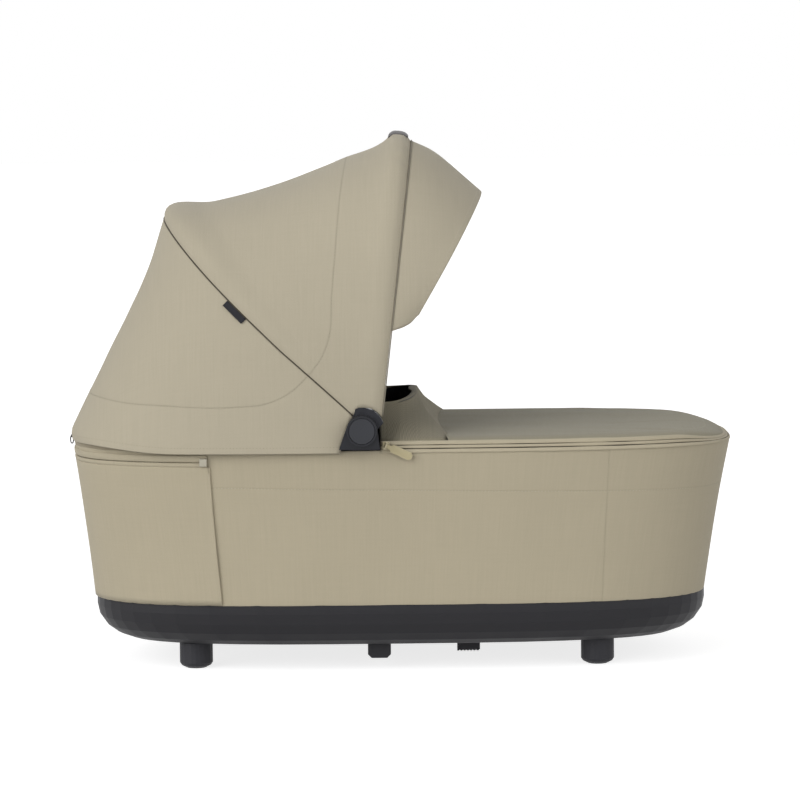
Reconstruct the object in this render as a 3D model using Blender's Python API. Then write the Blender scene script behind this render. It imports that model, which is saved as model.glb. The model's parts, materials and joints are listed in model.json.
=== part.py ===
"""Carrycot of a pram: plastic tub on four feet, fabric walls, folding hood with a carry bow, visor, apron, wind flap.

The head end is at -X, the foot end at +X and +Z is up. The origin lies on the floor, under the middle.
Right is the -Y side, as seen by someone who stands at the head end and looks to the foot end.
"""

import math
from dataclasses import dataclass

import bmesh
import bpy
import numpy as np
from mathutils import Matrix, Vector

# Levels above the floor, in metres
TUB_BOTTOM_Z = 0.032
TUB_TOP_Z = 0.085
RIM_Z = 0.2725

# Plan of the tub's upper edge and of the rim
BASE_HEAD_X = -0.3772
BASE_FOOT_X = 0.3783
BASE_HALF_WIDTH = 0.196
RIM_HEAD_X = -0.4012
RIM_FOOT_X = 0.41105
RIM_HALF_WIDTH = 0.2165
PLAN_EXPONENT = 3.4

# Tub
TUB_WALL = 0.003
TUB_CORNER_WIDTH = 0.040
TUB_CORNER_HEIGHT = 0.042
VENT_X = 0.0833
VENT_Y = -0.075
VENT_SLOT_WIDTH = 0.0038
VENT_SLOT_LENGTH = 0.044
VENT_PITCH = 0.012
VENT_SLOTS = 5

# Feet and chassis mounts
FOOT_HEAD_X = -0.2512
FOOT_TOE_X = 0.2413
FOOT_Y = 0.113
FOOT_RADIUS = 0.0203
FOOT_CHAMFER_WIDTH = 0.0085
FOOT_CHAMFER_HEIGHT = 0.0065
MOUNT_X = -0.0262
MOUNT_Y = 0.139
MOUNT_LENGTH = 0.028
MOUNT_DEPTH = 0.022
MOUNT_BOTTOM_Z = 0.0138
MOUNT_CHAMFER = 0.0045

# Vent slider under the tub's floor
SHUTTER_THICKNESS = 0.0028
SHUTTER_MARGIN = 0.007
SHUTTER_GAP = 0.0005
SHUTTER_TRAVEL = 0.006
RAIL_THICKNESS = 0.0018
RAIL_WIDTH = 0.005
RAIL_LEDGE = 0.0035
GRIP_LENGTH = 0.028
GRIP_DEPTH = 0.020
GRIP_BOTTOM_Z = 0.0150
GRIP_TEETH = 7
GRIP_TOOTH_DEPTH = 0.0014

# Fabric walls, frame and lining
COVER_THICKNESS = 0.003
COVER_HOLLOW = 0.0016
WRAP_THICKNESS = 0.0015
WRAP_TOP_Z = 0.2545
WRAP_EDGE_TOP_X = -0.2277
WRAP_EDGE_BOTTOM_X = -0.2097
RIM_TUBE_RADIUS = 0.0065
HOOP_RADIUS = 0.0025
HOOP_CLEARANCE = 0.0012
HOOP_HEAD_X = -0.2027
HOOP_FOOT_X = 0.2073
LINER_INSET = 0.0172
LINER_THICKNESS = 0.002
LINER_BOTTOM_Z = 0.0418
LINER_CORNER = 0.050
MATTRESS_SIDE_GAP = 0.004
MATTRESS_HEIGHT = 0.046
MATTRESS_CROWN = 0.006

# Zips on the rim
TAPE_THICKNESS = 0.0015
FOOT_TAPE_TOP_Z = 0.2808
FOOT_TAPE_LEAN = 0.0030
HEAD_TAPE_BOTTOM_Z = 0.2552
HEAD_TAPE_END_X = -0.2302
HEAD_SLIT_Z = 0.2608
HOOD_TAPE_TOP_Z = 0.2835
HOOD_TAPE_FLARE = 0.0015
SLIDER_LENGTH = 0.009
SLIDER_HEIGHT = 0.010
SLIDER_THICKNESS = 0.003
SLIDER_X = -0.0152
SLIDER_Z = 0.2800
PULL_LENGTH = 0.034
PULL_WIDTH = 0.0100
PULL_THICKNESS = 0.0016
PULL_TILT = math.radians(25)
PULL_NECK = 0.0060
KNUCKLE_RADIUS = 0.0017
KNUCKLE_WIDTH = 0.0050
EAR_THICKNESS = 0.0012
PIN_WIRE_RADIUS = 0.0007

# Hood: hinge, bows and cloth
HINGE_X = -0.0437
HINGE_Z = 0.299
HOOD_OVERHANG = 0.0075
HOOD_HALF_WIDTH = RIM_HALF_WIDTH + HOOD_OVERHANG
HOOD_FABRIC = 0.0015
BOW_TILT = math.radians(83.2)
BOW_OFFSET = 0.0060
BOW_REACH = 0.3545
BOW_EXPONENT = 2.8
BOW_HALF_DEPTH = 0.0080
BOW_HALF_THICKNESS = 0.0055
BOW_COVER_DEPTH = 0.0026
SEAM_FORWARD = 0.0158
SEAM_DROP = 0.0106
SHOULDER_DEPTH = 0.0064
SHOULDER_DROP = 0.0016
BOW_REAR_DEPTH = 0.0150
BOW_REAR_DROP = 0.0100
MID_TILT = math.radians(134.1)
MID_REACH = 0.3532
MID_EXPONENT = 3.0
MID_RADIUS = 0.0035
MID_LUG_RADIUS = 0.0096
MID_COVER_DEPTH = 0.0100
RIDGE_DEPTH = 0.0040
HEM_Z = 0.2795
HEM_REACH = 0.3655
HEM_EXPONENT = 3.4
ROOF_SAG = 0.0125
REAR_SAG = 0.0085
SEAM_GAP = 0.0012
HINGE_CLEAR_FRONT = 0.0285
HINGE_CLEAR_SIDE = 0.0325
HINGE_CLEAR_REAR = 0.0185

# Carry grip and label on the hood
GRIP_HALF_SPAN = 0.075
GRIP_THICKNESS = 0.0022
LABEL_LENGTH = 0.030
LABEL_WIDTH = 0.0095
LABEL_THICKNESS = 0.0009
LABEL_RADIUS_AT = 0.198

# Hinge of the hood, measured outwards from the middle of the cot
CHEEK_INSET = 0.0165
CHEEK_INNER_Y = RIM_HALF_WIDTH - CHEEK_INSET
CHEEK_THICKNESS = 0.0031
CHEEK_RADIUS = 0.0104
LUG_THICKNESS = 0.0031
SIDE_CLEARANCE = 0.0004
SOCKET_OUTER_Y = HOOD_HALF_WIDTH
SOCKET_BIG_RADIUS = 0.0270
SOCKET_SMALL_RADIUS = 0.0155
PLATE_STAND = 0.0122
PLATE_OUTER_Y = SOCKET_OUTER_Y + PLATE_STAND
RING_STAND = 0.0043
RING_OUTER_Y = PLATE_OUTER_Y + RING_STAND
RING_RADIUS = 0.0187
RING_WIDTH = 0.0028
BUTTON_RECESS = 0.0042
BUTTON_THICKNESS = 0.0032
BUTTON_TRAVEL = 0.0035
BUTTON_STAND = 0.0008
PIN_RADIUS = 0.0040
PLATE_HEAD_X = -0.0712
PLATE_FOOT_X = -0.0222
PLATE_BOTTOM_Z = 0.2768
WEB_HEAD_X = -0.0577
WEB_FOOT_X = -0.0237
WEB_TOP_Z = 0.2835

# Visor
VISOR_THICKNESS = 0.0025
VISOR_LOW_Z = 0.4165
VISOR_EDGE_X = 0.0231
VISOR_EDGE_Z = 0.430
VISOR_EDGE_TILT = math.radians(60.6)
VISOR_EDGE_DROP = 0.1857
VISOR_EDGE_REACH = BOW_REACH - VISOR_EDGE_DROP
VISOR_EDGE_INSET = 0.0200
VISOR_EDGE_HALF_WIDTH = HOOD_HALF_WIDTH - VISOR_EDGE_INSET
VISOR_EDGE_EXPONENT = 2.4
VISOR_CROWN = 0.0040
VISOR_PIVOT_REACH = 0.129
VISOR_RIM_TILT = math.radians(50.9)
VISOR_RIM_DROP = 0.1665
VISOR_RIM_REACH = BOW_REACH - VISOR_RIM_DROP
VISOR_RIM_INSET = 0.0080
VISOR_RIM_HALF_WIDTH = VISOR_EDGE_HALF_WIDTH - VISOR_RIM_INSET
VISOR_RIM_EXPONENT = 2.4
VISOR_RIM_RADIUS = 0.0022
VISOR_LUG_THICKNESS = 0.0030
VISOR_STUD_RADIUS = 0.0030

# Apron and wind flap
APRON_THICKNESS = 0.002
APRON_HEAD_X = 0.0640
APRON_CROWN = 0.0160
APRON_FLAT_X = 0.2023
APRON_TIP_HALF_WIDTH = 0.040
FLAP_TOP_X = 0.0248
FLAP_TOP_Z = 0.3245
FLAP_TOP_CROWN = 0.0080
FLAP_INSET = 0.0025
FLAP_HALF_WIDTH_LOW = RIM_HALF_WIDTH - FLAP_INSET
FLAP_LEAN = 0.0840
FLAP_HALF_WIDTH_TOP = FLAP_HALF_WIDTH_LOW - FLAP_LEAN
FLAP_EXPONENT_LOW = 16.0
FLAP_EXPONENT_TOP = 2.4
FLAP_LIP = 0.0110
FLAP_HOLLOW = 0.0090
FLAP_THICKNESS = 0.0025
FLAP_AXIS_RISE = 0.0014
WING_HEAD_X = -0.0142
WING_HEAD_TOP_X = -0.0177

# Ring that hangs from the hood's hem at the head end
HEM_BAR_RADIUS = 0.0006
HEM_BAR_HALF_WIDTH = 0.0030
HEM_BAR_DROP = 0.0040
HEM_RING_RADIUS = 0.0007
HEM_RING_HALF_WIDTH = 0.0019
HEM_RING_HALF_HEIGHT = 0.0050

# Clearances
TOUCH = 0.0003
RUNNING = 0.00006
OVERRUN = 0.002
LEAST_TURN = 1e-9
SHARP_ANGLE = math.radians(38)

# Distance from a band's end to the next point of the plan ring
BAND_END_GAP = 0.002

# Counts of points
PLAN_POINTS = 48
FINE_SHARE = 24
BOW_POINTS = 30
CLOTH_POINTS = 36
TUBE_SIDES = 8
ROUND_SIDES = 24

# Shapes as shares of the sizes above
FLAP_SHARE = 0.78
WING_GAP_SHARE = 0.019
WING_SPREAD = 0.6
REAR_SKEW = 1.7
CORNER_SHARE = 0.62
BOW_CORNER_SHARE = 0.4
CROWN_EXPONENT = 2.6
APRON_EDGE_SHARE = 0.9
APRON_END_EXPONENT = 2.6
TUB_END_SHARE = 1.4
RIM_TUBE_DROP_SHARE = 0.3
HOOP_LEVEL_SHARES = (0.6, 0.25)
GRIP_TOOTH_SHARES = (0.55, 0.75)
PULL_NECK_SHARE = 0.9
MID_LUG_SHARES = ((-1.0, 0.6), (0.0, 1.0), (1.0, 0.8))
MID_LEG_SHARES = ((1.0, 1.0), (1.15, 1.0), (1.5, 0.8))
MID_LEG_SPREAD_SHARE = 0.3
VISOR_LUG_SHARES = ((-1.0, 0.6), (0.0, 1.0), (1.0, 0.7))
MATTRESS_LEVEL_SHARES = (0.0, 0.16, 0.45, 0.78, 0.94, 1.0)
MATTRESS_INSET_SHARES = (1.0, 0.56, 0.27, 0.20, 0.40, 0.86)
COVER_LEVEL_SHARES = (0.0, 0.2, 0.45, 0.72, 1.0)

# Colours, roughness, metallic
HOOD_CLOTH = ((0.42, 0.37, 0.27), 0.85, 0.0)
WALL_CLOTH = ((0.39, 0.34, 0.25), 0.85, 0.0)
DARK_CLOTH = ((0.012, 0.012, 0.013), 0.9, 0.0)
FLAP_CLOTH = ((0.20, 0.18, 0.14), 0.85, 0.0)
TAPE_CLOTH = ((0.30, 0.26, 0.18), 0.8, 0.0)
BLACK_PLASTIC = ((0.032, 0.032, 0.036), 0.5, 0.0)
GREY_PLASTIC = ((0.050, 0.052, 0.060), 0.42, 0.0)
GRIP_HIDE = ((0.150, 0.145, 0.145), 0.6, 0.0)
RUBBER = ((0.045, 0.044, 0.050), 0.7, 0.0)
STEEL = ((0.55, 0.55, 0.56), 0.35, 1.0)
KHAKI_METAL = ((0.36, 0.31, 0.19), 0.4, 0.7)
FOAM = ((0.75, 0.75, 0.73), 0.9, 0.0)


@dataclass
class Plane:
    """A half-plane through a line along Y, in which a bow or a seam lies."""

    x: float
    z: float
    tilt: float

    def at(self, reach, y):
        """Place at a distance from the line, measured in the plane."""
        return Vector((self.x + reach * math.cos(self.tilt), y, self.z + reach * math.sin(self.tilt)))

    def normal(self):
        """Direction square to the plane, to the foot end."""
        return Vector((math.sin(self.tilt), 0, -math.cos(self.tilt)))

    def shifted(self, distance):
        """The same plane moved along its normal."""
        step = self.normal() * distance
        return Plane(self.x + step.x, self.z + step.z, self.tilt)


def bow_plane(offset=BOW_OFFSET):
    """Plane of the carry bow, moved forward of the hinge along X."""
    return Plane(HINGE_X + offset, HINGE_Z, BOW_TILT)


MID_PLANE = Plane(HINGE_X, HINGE_Z, MID_TILT)
HEM_PLANE = Plane(HINGE_X, HEM_Z, math.pi)
VISOR_PIVOT = bow_plane().at(VISOR_PIVOT_REACH, 0)


def clear_scene():
    """Remove whatever the file holds."""
    for thing in list(bpy.data.objects):
        bpy.data.objects.remove(thing, do_unlink=True)


def material(name, finish):
    """Principled material, made once for each name."""
    found = bpy.data.materials.get(name)
    if found:
        return found
    colour, roughness, metallic = finish
    made = bpy.data.materials.new(name)
    made.use_nodes = True
    shader = made.node_tree.nodes["Principled BSDF"]
    shader.inputs["Base Color"].default_value = (*colour, 1.0)
    shader.inputs["Roughness"].default_value = roughness
    shader.inputs["Metallic"].default_value = metallic
    return made


def mix(low, high, share):
    """Value at a share of the way from low to high."""
    return low + (high - low) * share


def resample(points, count, closed=False, turn_share=0.0):
    """Points along a line through the given ones, spaced by its length and, for a share, by how it turns."""
    line = np.array([tuple(point) for point in points])
    if closed:
        line = np.vstack([line, line[:1]])
    steps = np.diff(line, axis=0)
    lengths = np.linalg.norm(steps, axis=1)
    ways = steps / lengths[:, None]
    turns = np.arccos(np.clip(np.sum(ways * np.roll(ways, 1, axis=0), axis=1), -1, 1))
    if not closed:
        turns[0] = 0.0
    measure = (1 - turn_share) * lengths / lengths.sum() + turn_share * turns / max(turns.sum(), LEAST_TURN)
    marks = np.concatenate([[0.0], np.cumsum(measure)])
    stops = np.linspace(0.0, marks[-1], count, endpoint=not closed)
    columns = [np.interp(stops, marks, line[:, axis]) for axis in range(line.shape[1])]
    return [Vector(row) for row in np.stack(columns, axis=1).tolist()]


def rounded_outline(head_x, foot_x, half_width, exponent, count=PLAN_POINTS):
    """Closed superellipse in plan, as 2-D points."""
    centre = (head_x + foot_x) / 2
    half_length = (foot_x - head_x) / 2
    dense = []
    for step in range(count * FINE_SHARE):
        turn = math.tau * step / (count * FINE_SHARE)
        along = math.copysign(abs(math.cos(turn)) ** (2 / exponent), math.cos(turn))
        across = math.copysign(abs(math.sin(turn)) ** (2 / exponent), math.sin(turn))
        dense.append((centre + half_length * along, half_width * across))
    return resample(dense, count, closed=True, turn_share=CORNER_SHARE)


def wall_sizes(z, inset=0.0):
    """Head x, foot x and half-width of the sloping wall at a level."""
    share = (z - TUB_TOP_Z) / (RIM_Z - TUB_TOP_Z)
    head = mix(BASE_HEAD_X, RIM_HEAD_X, share) + inset
    foot = mix(BASE_FOOT_X, RIM_FOOT_X, share) - inset
    return head, foot, mix(BASE_HALF_WIDTH, RIM_HALF_WIDTH, share) - inset


def wall_ring(z, inset=0.0, level=None, count=PLAN_POINTS):
    """Closed ring on the wall's surface, drawn at its own or at another level."""
    head, foot, half_width = wall_sizes(z, inset)
    flat = rounded_outline(head, foot, half_width, PLAN_EXPONENT, count)
    return [Vector((point.x, point.y, z if level is None else level)) for point in flat]


def base_ring(inset, z, count=PLAN_POINTS):
    """Closed ring inside the tub's upper edge. It lies further in at the two ends than at the sides."""
    end_inset = inset * TUB_END_SHARE
    sizes = (BASE_HEAD_X + end_inset, BASE_FOOT_X - end_inset, BASE_HALF_WIDTH - inset)
    return [Vector((point.x, point.y, z)) for point in rounded_outline(*sizes, PLAN_EXPONENT, count)]


def wall_half_width(x, z, inset=0.0):
    """Half-width of the wall at a place along X."""
    head, foot, half_width = wall_sizes(z, inset)
    along = abs(x - (head + foot) / 2) / ((foot - head) / 2)
    return half_width * (1 - min(along, 1.0) ** PLAN_EXPONENT) ** (1 / PLAN_EXPONENT)


def tub_corner(depth, angle):
    """Inset and level of a point on the tub's lower corner, at a depth inside its skin."""
    inset = TUB_CORNER_WIDTH - (TUB_CORNER_WIDTH - depth) * math.sin(angle)
    z = TUB_BOTTOM_Z + TUB_CORNER_HEIGHT - (TUB_CORNER_HEIGHT - depth) * math.cos(angle)
    return inset, z


def bow_curve(plane, reach, half_width, exponent, start, count):
    """Arch from the right leg over the top to the left leg, evenly spaced."""
    leg = half_width * (1 - (start / reach) ** exponent) ** (1 / exponent)
    flat = [(start, -leg)]
    for step in range(1, count * FINE_SHARE):
        turn = math.pi * step / (count * FINE_SHARE)
        along = reach * math.sin(turn) ** (2 / exponent)
        across = -math.copysign(half_width * abs(math.cos(turn)) ** (2 / exponent), math.cos(turn))
        if along > start:
            flat.append((along, across))
    flat.append((start, leg))
    return [plane.at(point.x, point.y) for point in resample(flat, count, turn_share=BOW_CORNER_SHARE)]


def finish(mesh, name, look, pivot=None, parent=None):
    """Turn a bmesh into a named object with faces out, its material and its origin on its axis."""
    bmesh.ops.recalc_face_normals(mesh, faces=mesh.faces)
    centre = Vector(pivot) if pivot else Vector((0, 0, 0))
    bmesh.ops.translate(mesh, verts=mesh.verts, vec=-centre)
    data = bpy.data.meshes.new(name)
    mesh.to_mesh(data)
    mesh.free()
    data.shade_smooth()
    data.set_sharp_from_angle(angle=SHARP_ANGLE)
    made = bpy.data.objects.new(name, data)
    bpy.context.collection.objects.link(made)
    made.location = centre
    if parent:
        made.parent = parent
        made.location = centre - parent.location
    data.materials.append(material(look[0], look[1]))
    return made


def axis_empty(name, place):
    """Empty on a joint's axis, which carries the pieces of one moving body."""
    made = bpy.data.objects.new(name, None)
    bpy.context.collection.objects.link(made)
    made.location = place
    return made


def skin(rings, path_closed=False):
    """Mesh through a row of closed rings, capped at its ends or joined round."""
    mesh = bmesh.new()
    rows = [[mesh.verts.new(point) for point in ring] for ring in rings]
    sides = len(rows[0])
    pairs = list(zip(rows, rows[1:]))
    if path_closed:
        pairs.append((rows[-1], rows[0]))
    for low, high in pairs:
        for side in range(sides):
            after = (side + 1) % sides
            mesh.faces.new((low[side], low[after], high[after], high[side]))
    if not path_closed:
        mesh.faces.new(list(reversed(rows[0])))
        mesh.faces.new(rows[-1])
    return mesh


def grid_normals(grid, inside):
    """Normals of a grid of points that face away from the inside point."""
    rows, columns = len(grid), len(grid[0])
    normals = []
    facing = 0.0
    for row in range(rows):
        line = []
        for column in range(columns):
            along = grid[min(row + 1, rows - 1)][column] - grid[max(row - 1, 0)][column]
            across = grid[row][min(column + 1, columns - 1)] - grid[row][max(column - 1, 0)]
            line.append(along.cross(across).normalized())
            facing += line[-1].dot(grid[row][column] - Vector(inside))
        normals.append(line)
    turn = 1.0 if facing > 0 else -1.0
    return [[normal * turn for normal in line] for line in normals]


def kept_in_plane(direction, plane_normal):
    """Direction turned into a plane and lengthened, so that it still spans one unit along its old line."""
    flat = direction - plane_normal * direction.dot(plane_normal)
    return flat / flat.dot(direction)


def cloth(grid, thickness, inside, first_plane=None, last_plane=None):
    """Closed sheet with its outer skin on the grid. Its first and last edges can be cut along a plane."""
    rows, columns = len(grid), len(grid[0])
    normals = grid_normals(grid, inside)
    if first_plane:
        normals[0] = [kept_in_plane(normal, first_plane) for normal in normals[0]]
    if last_plane:
        normals[-1] = [kept_in_plane(normal, last_plane) for normal in normals[-1]]
    mesh = bmesh.new()
    outer = [[mesh.verts.new(point) for point in line] for line in grid]
    inner = []
    for line, outward in zip(grid, normals):
        inner.append([mesh.verts.new(point - normal * thickness) for point, normal in zip(line, outward)])
    for row in range(rows - 1):
        for column in range(columns - 1):
            for skin_rows in (outer, inner):
                low, high = skin_rows[row], skin_rows[row + 1]
                mesh.faces.new((low[column], low[column + 1], high[column + 1], high[column]))
    for row in range(rows - 1):
        for column in (0, columns - 1):
            mesh.faces.new((outer[row][column], outer[row + 1][column], inner[row + 1][column], inner[row][column]))
    for column in range(columns - 1):
        for row in (0, rows - 1):
            mesh.faces.new((outer[row][column], outer[row][column + 1], inner[row][column + 1], inner[row][column]))
    return mesh


def sweep(path, normal, halves, sides=TUBE_SIDES, path_closed=False):
    """Oval bar along a flat path. Halves are its half-sizes along the plane's normal and in the plane."""
    rings = []
    last = len(path) - 1
    for index, place in enumerate(path):
        before = path[index - 1] if index or path_closed else place
        after = path[(index + 1) % len(path)] if index < last or path_closed else place
        outward = (after - before).normalized().cross(normal).normalized()
        deep, thick = halves[index] if isinstance(halves, list) else halves
        ring = []
        for side in range(sides):
            turn = math.tau * (side + 0.5) / sides
            ring.append(place + normal * deep * math.cos(turn) + outward * thick * math.sin(turn))
        rings.append(ring)
    return skin(rings, path_closed)


def box(low, high):
    """Mesh of a box between two corners."""
    mesh = bmesh.new()
    size = Vector(high) - Vector(low)
    centre = (Vector(high) + Vector(low)) / 2
    place = Matrix.Translation(centre) @ Matrix.Diagonal((*size, 1))
    bmesh.ops.create_cube(mesh, size=1, matrix=place)
    return mesh


def rod(start, end, radius, sides=ROUND_SIDES):
    """Mesh of a round rod between two places."""
    start, end = Vector(start), Vector(end)
    axis = (end - start).normalized()
    mesh = bmesh.new()
    turn = axis.to_track_quat("Z", "Y").to_matrix().to_4x4()
    place = Matrix.Translation((start + end) / 2) @ turn
    length = (end - start).length
    bmesh.ops.create_cone(
        mesh, cap_ends=True, segments=sides, radius1=radius, radius2=radius, depth=length, matrix=place
    )
    return mesh


def slab(outline, low_y, high_y):
    """Mesh of an outline in the X-Z plane, drawn out along Y."""
    return skin([[Vector((x, y, z)) for x, z in outline] for y in (low_y, high_y)])


def arc(centre_x, centre_z, radius, start, end, steps):
    """Points of an arc in the X-Z plane, angles in degrees."""
    angles = [math.radians(mix(start, end, step / steps)) for step in range(steps + 1)]
    return [(centre_x + radius * math.cos(angle), centre_z + radius * math.sin(angle)) for angle in angles]


def combine(target, mesh, operation, name):
    """Add a Boolean of a guide mesh to an object."""
    guide = finish(mesh, name, ("guide", BLACK_PLASTIC))
    guide.hide_render = True
    guide.display_type = "WIRE"
    step = target.modifiers.new(name, "BOOLEAN")
    step.operation = operation
    step.object = guide
    step.solver = "EXACT"
    return guide


def vent_slot_places():
    """X of each vent slot's middle."""
    return [VENT_X + (index - (VENT_SLOTS - 1) / 2) * VENT_PITCH for index in range(VENT_SLOTS)]


def vent_cutters(target, shift, name):
    """Cut the row of vent slots through an object, moved along X."""
    for index, x in enumerate(vent_slot_places()):
        low = (x + shift - VENT_SLOT_WIDTH / 2, VENT_Y - VENT_SLOT_LENGTH / 2, TUB_BOTTOM_Z - FOOT_CHAMFER_WIDTH)
        high = (x + shift + VENT_SLOT_WIDTH / 2, VENT_Y + VENT_SLOT_LENGTH / 2, TUB_BOTTOM_Z + FOOT_CHAMFER_WIDTH)
        combine(target, box(low, high), "DIFFERENCE", f"{name}_slot_cutter_{index}")


def make_tub():
    """Moulded tub: a flat floor with vent slots, a round lower corner and a short upright wall."""
    angles = [math.radians(degrees) for degrees in (0, 18, 36, 54, 72, 90)]
    outer = [base_ring(*tub_corner(0.0, angle)) for angle in angles] + [base_ring(0.0, TUB_TOP_Z)]
    inner = [base_ring(*tub_corner(TUB_WALL, angle)) for angle in angles] + [base_ring(TUB_WALL, TUB_TOP_Z)]
    tub = finish(skin(outer + list(reversed(inner))), "tub_base", ("black plastic", BLACK_PLASTIC))
    vent_cutters(tub, 0.0, "tub")


def make_feet():
    """Four round feet with chamfered soles."""
    sole = FOOT_RADIUS - FOOT_CHAMFER_WIDTH
    waist = FOOT_RADIUS - FOOT_CHAMFER_WIDTH / 4
    profile = ((sole, 0.0), (waist, FOOT_CHAMFER_HEIGHT / 2), (FOOT_RADIUS, FOOT_CHAMFER_HEIGHT))
    profile += ((FOOT_RADIUS, TUB_BOTTOM_Z - TOUCH),)
    places = {"head": FOOT_HEAD_X, "toe": FOOT_TOE_X}
    for end, x in places.items():
        for side, sign in (("right", -1), ("left", 1)):
            rings = []
            for radius, z in profile:
                turns = [math.tau * step / ROUND_SIDES for step in range(ROUND_SIDES)]
                rings.append(
                    [Vector((x + radius * math.cos(a), sign * FOOT_Y + radius * math.sin(a), z)) for a in turns]
                )
            finish(skin(rings), f"foot_{end}_{side}", ("foot rubber", RUBBER))


def make_mounts():
    """Blocks under the tub that sit on a chassis."""
    low_x, high_x = MOUNT_X - MOUNT_LENGTH / 2, MOUNT_X + MOUNT_LENGTH / 2
    top = TUB_BOTTOM_Z - TOUCH
    outline = (
        (low_x, top),
        (low_x, MOUNT_BOTTOM_Z + MOUNT_CHAMFER),
        (low_x + MOUNT_CHAMFER, MOUNT_BOTTOM_Z),
        (high_x - MOUNT_CHAMFER, MOUNT_BOTTOM_Z),
        (high_x, MOUNT_BOTTOM_Z + MOUNT_CHAMFER),
        (high_x, top),
    )
    for side, sign in (("right", -1), ("left", 1)):
        inner, outer = sign * (MOUNT_Y - MOUNT_DEPTH / 2), sign * (MOUNT_Y + MOUNT_DEPTH / 2)
        finish(slab(outline, inner, outer), f"chassis_mount_{side}", ("black plastic", BLACK_PLASTIC))


def make_vent():
    """Shutter with a serrated grip that slides under the tub's floor, and its two rails."""
    half_length = (VENT_SLOTS - 1) / 2 * VENT_PITCH + VENT_SLOT_WIDTH / 2 + SHUTTER_MARGIN
    half_width = VENT_SLOT_LENGTH / 2 + SHUTTER_MARGIN
    top = TUB_BOTTOM_Z - SHUTTER_GAP
    bottom = top - SHUTTER_THICKNESS
    low = (VENT_X - half_length, VENT_Y - half_width, bottom)
    high = (VENT_X + half_length, VENT_Y + half_width, top)
    shutter = finish(box(low, high), "vent_slider", ("black plastic", BLACK_PLASTIC), pivot=(VENT_X, VENT_Y, bottom))
    vent_cutters(shutter, 0.0, "shutter")
    teeth = []
    tooth = GRIP_LENGTH / GRIP_TEETH
    start = VENT_X - GRIP_LENGTH / 2
    flat_share, ramp_share = GRIP_TOOTH_SHARES
    for index in range(GRIP_TEETH):
        teeth.append((start + index * tooth, GRIP_BOTTOM_Z))
        teeth.append((start + (index + flat_share) * tooth, GRIP_BOTTOM_Z))
        teeth.append((start + (index + ramp_share) * tooth, GRIP_BOTTOM_Z + GRIP_TOOTH_DEPTH))
    teeth.append((start + GRIP_LENGTH, GRIP_BOTTOM_Z + GRIP_TOOTH_DEPTH))
    teeth.append((start + GRIP_LENGTH, bottom + SHUTTER_THICKNESS / 2))
    teeth.append((start, bottom + SHUTTER_THICKNESS / 2))
    near = VENT_Y - half_width + SHUTTER_MARGIN / 4
    grip = slab(teeth, near, near - SHUTTER_MARGIN / 4 + SHUTTER_MARGIN - RUNNING)
    combine(shutter, grip, "UNION", "vent_grip_guide")
    for side, sign in (("outer", -1), ("inner", 1)):
        edge = VENT_Y + sign * (half_width + TOUCH)
        reach = half_length + SHUTTER_TRAVEL
        foot = bottom - TOUCH
        outline = (
            (edge, TUB_BOTTOM_Z - TOUCH),
            (edge + sign * RAIL_WIDTH, TUB_BOTTOM_Z - TOUCH),
            (edge + sign * RAIL_WIDTH, foot - RAIL_THICKNESS),
            (edge - sign * SHUTTER_MARGIN / 8, foot - RAIL_THICKNESS),
            (edge - sign * SHUTTER_MARGIN / 8, foot),
            (edge, foot),
        )
        ends = (VENT_X - half_length, VENT_X + reach)
        rings = [[Vector((x, y, z)) for y, z in outline] for x in ends]
        finish(skin(rings), f"vent_rail_{side}", ("black plastic", BLACK_PLASTIC))


def make_walls():
    """Outer cover, head wrap, rim tube, standing hoops, lining and mattress."""
    low, high = TUB_TOP_Z + TOUCH, RIM_Z
    outer = []
    for share in COVER_LEVEL_SHARES:
        outer.append(wall_ring(mix(low, high, share), COVER_HOLLOW * math.sin(math.pi * share)))
    inner = [wall_ring(z, COVER_THICKNESS) for z in (high, (low + high) / 2, low)]
    finish(skin(outer + inner, path_closed=True), "outer_cover", ("wall cloth", WALL_CLOTH))

    tube_z = RIM_Z - RIM_TUBE_RADIUS - RIM_TUBE_DROP_SHARE * RIM_TUBE_RADIUS
    tube_inset = COVER_THICKNESS + TOUCH + RIM_TUBE_RADIUS
    path = wall_ring(tube_z, tube_inset)
    halves = (RIM_TUBE_RADIUS, RIM_TUBE_RADIUS)
    finish(sweep(path, Vector((0, 0, 1)), halves, path_closed=True), "rim_tube", ("steel", STEEL))

    depth = TUB_WALL + HOOP_RADIUS + HOOP_CLEARANCE
    above = [tube_z - RIM_TUBE_RADIUS - TOUCH] + [mix(TUB_TOP_Z, RIM_Z, share) for share in HOOP_LEVEL_SHARES]
    for name, x in (("head_hoop", HOOP_HEAD_X), ("foot_hoop", HOOP_FOOT_X)):
        side = [(wall_half_width(x, above[0], tube_inset), above[0])]
        side += [(wall_half_width(x, z, 2 * depth), z) for z in above[1:]]
        for degrees in (80, 60, 40, 20, 0):
            inset, z = tub_corner(depth, math.radians(degrees))
            side.append((wall_half_width(x, TUB_TOP_Z, inset + TOUCH), z))
        path = [Vector((x, -y, z)) for y, z in side] + [Vector((x, y, z)) for y, z in reversed(side)]
        bar = sweep(path, Vector((1, 0, 0)), (HOOP_RADIUS, HOOP_RADIUS), sides=6)
        finish(bar, name, ("steel", STEEL))

    make_liner()
    make_mattress()


def liner_corner(depth, angle):
    """Inset and level of the lining's lower corner, at a depth inside its skin."""
    inset = LINER_INSET + LINER_CORNER - (LINER_CORNER - depth) * math.sin(angle)
    z = LINER_BOTTOM_Z + LINER_CORNER - (LINER_CORNER - depth) * math.cos(angle)
    return inset, z


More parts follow.
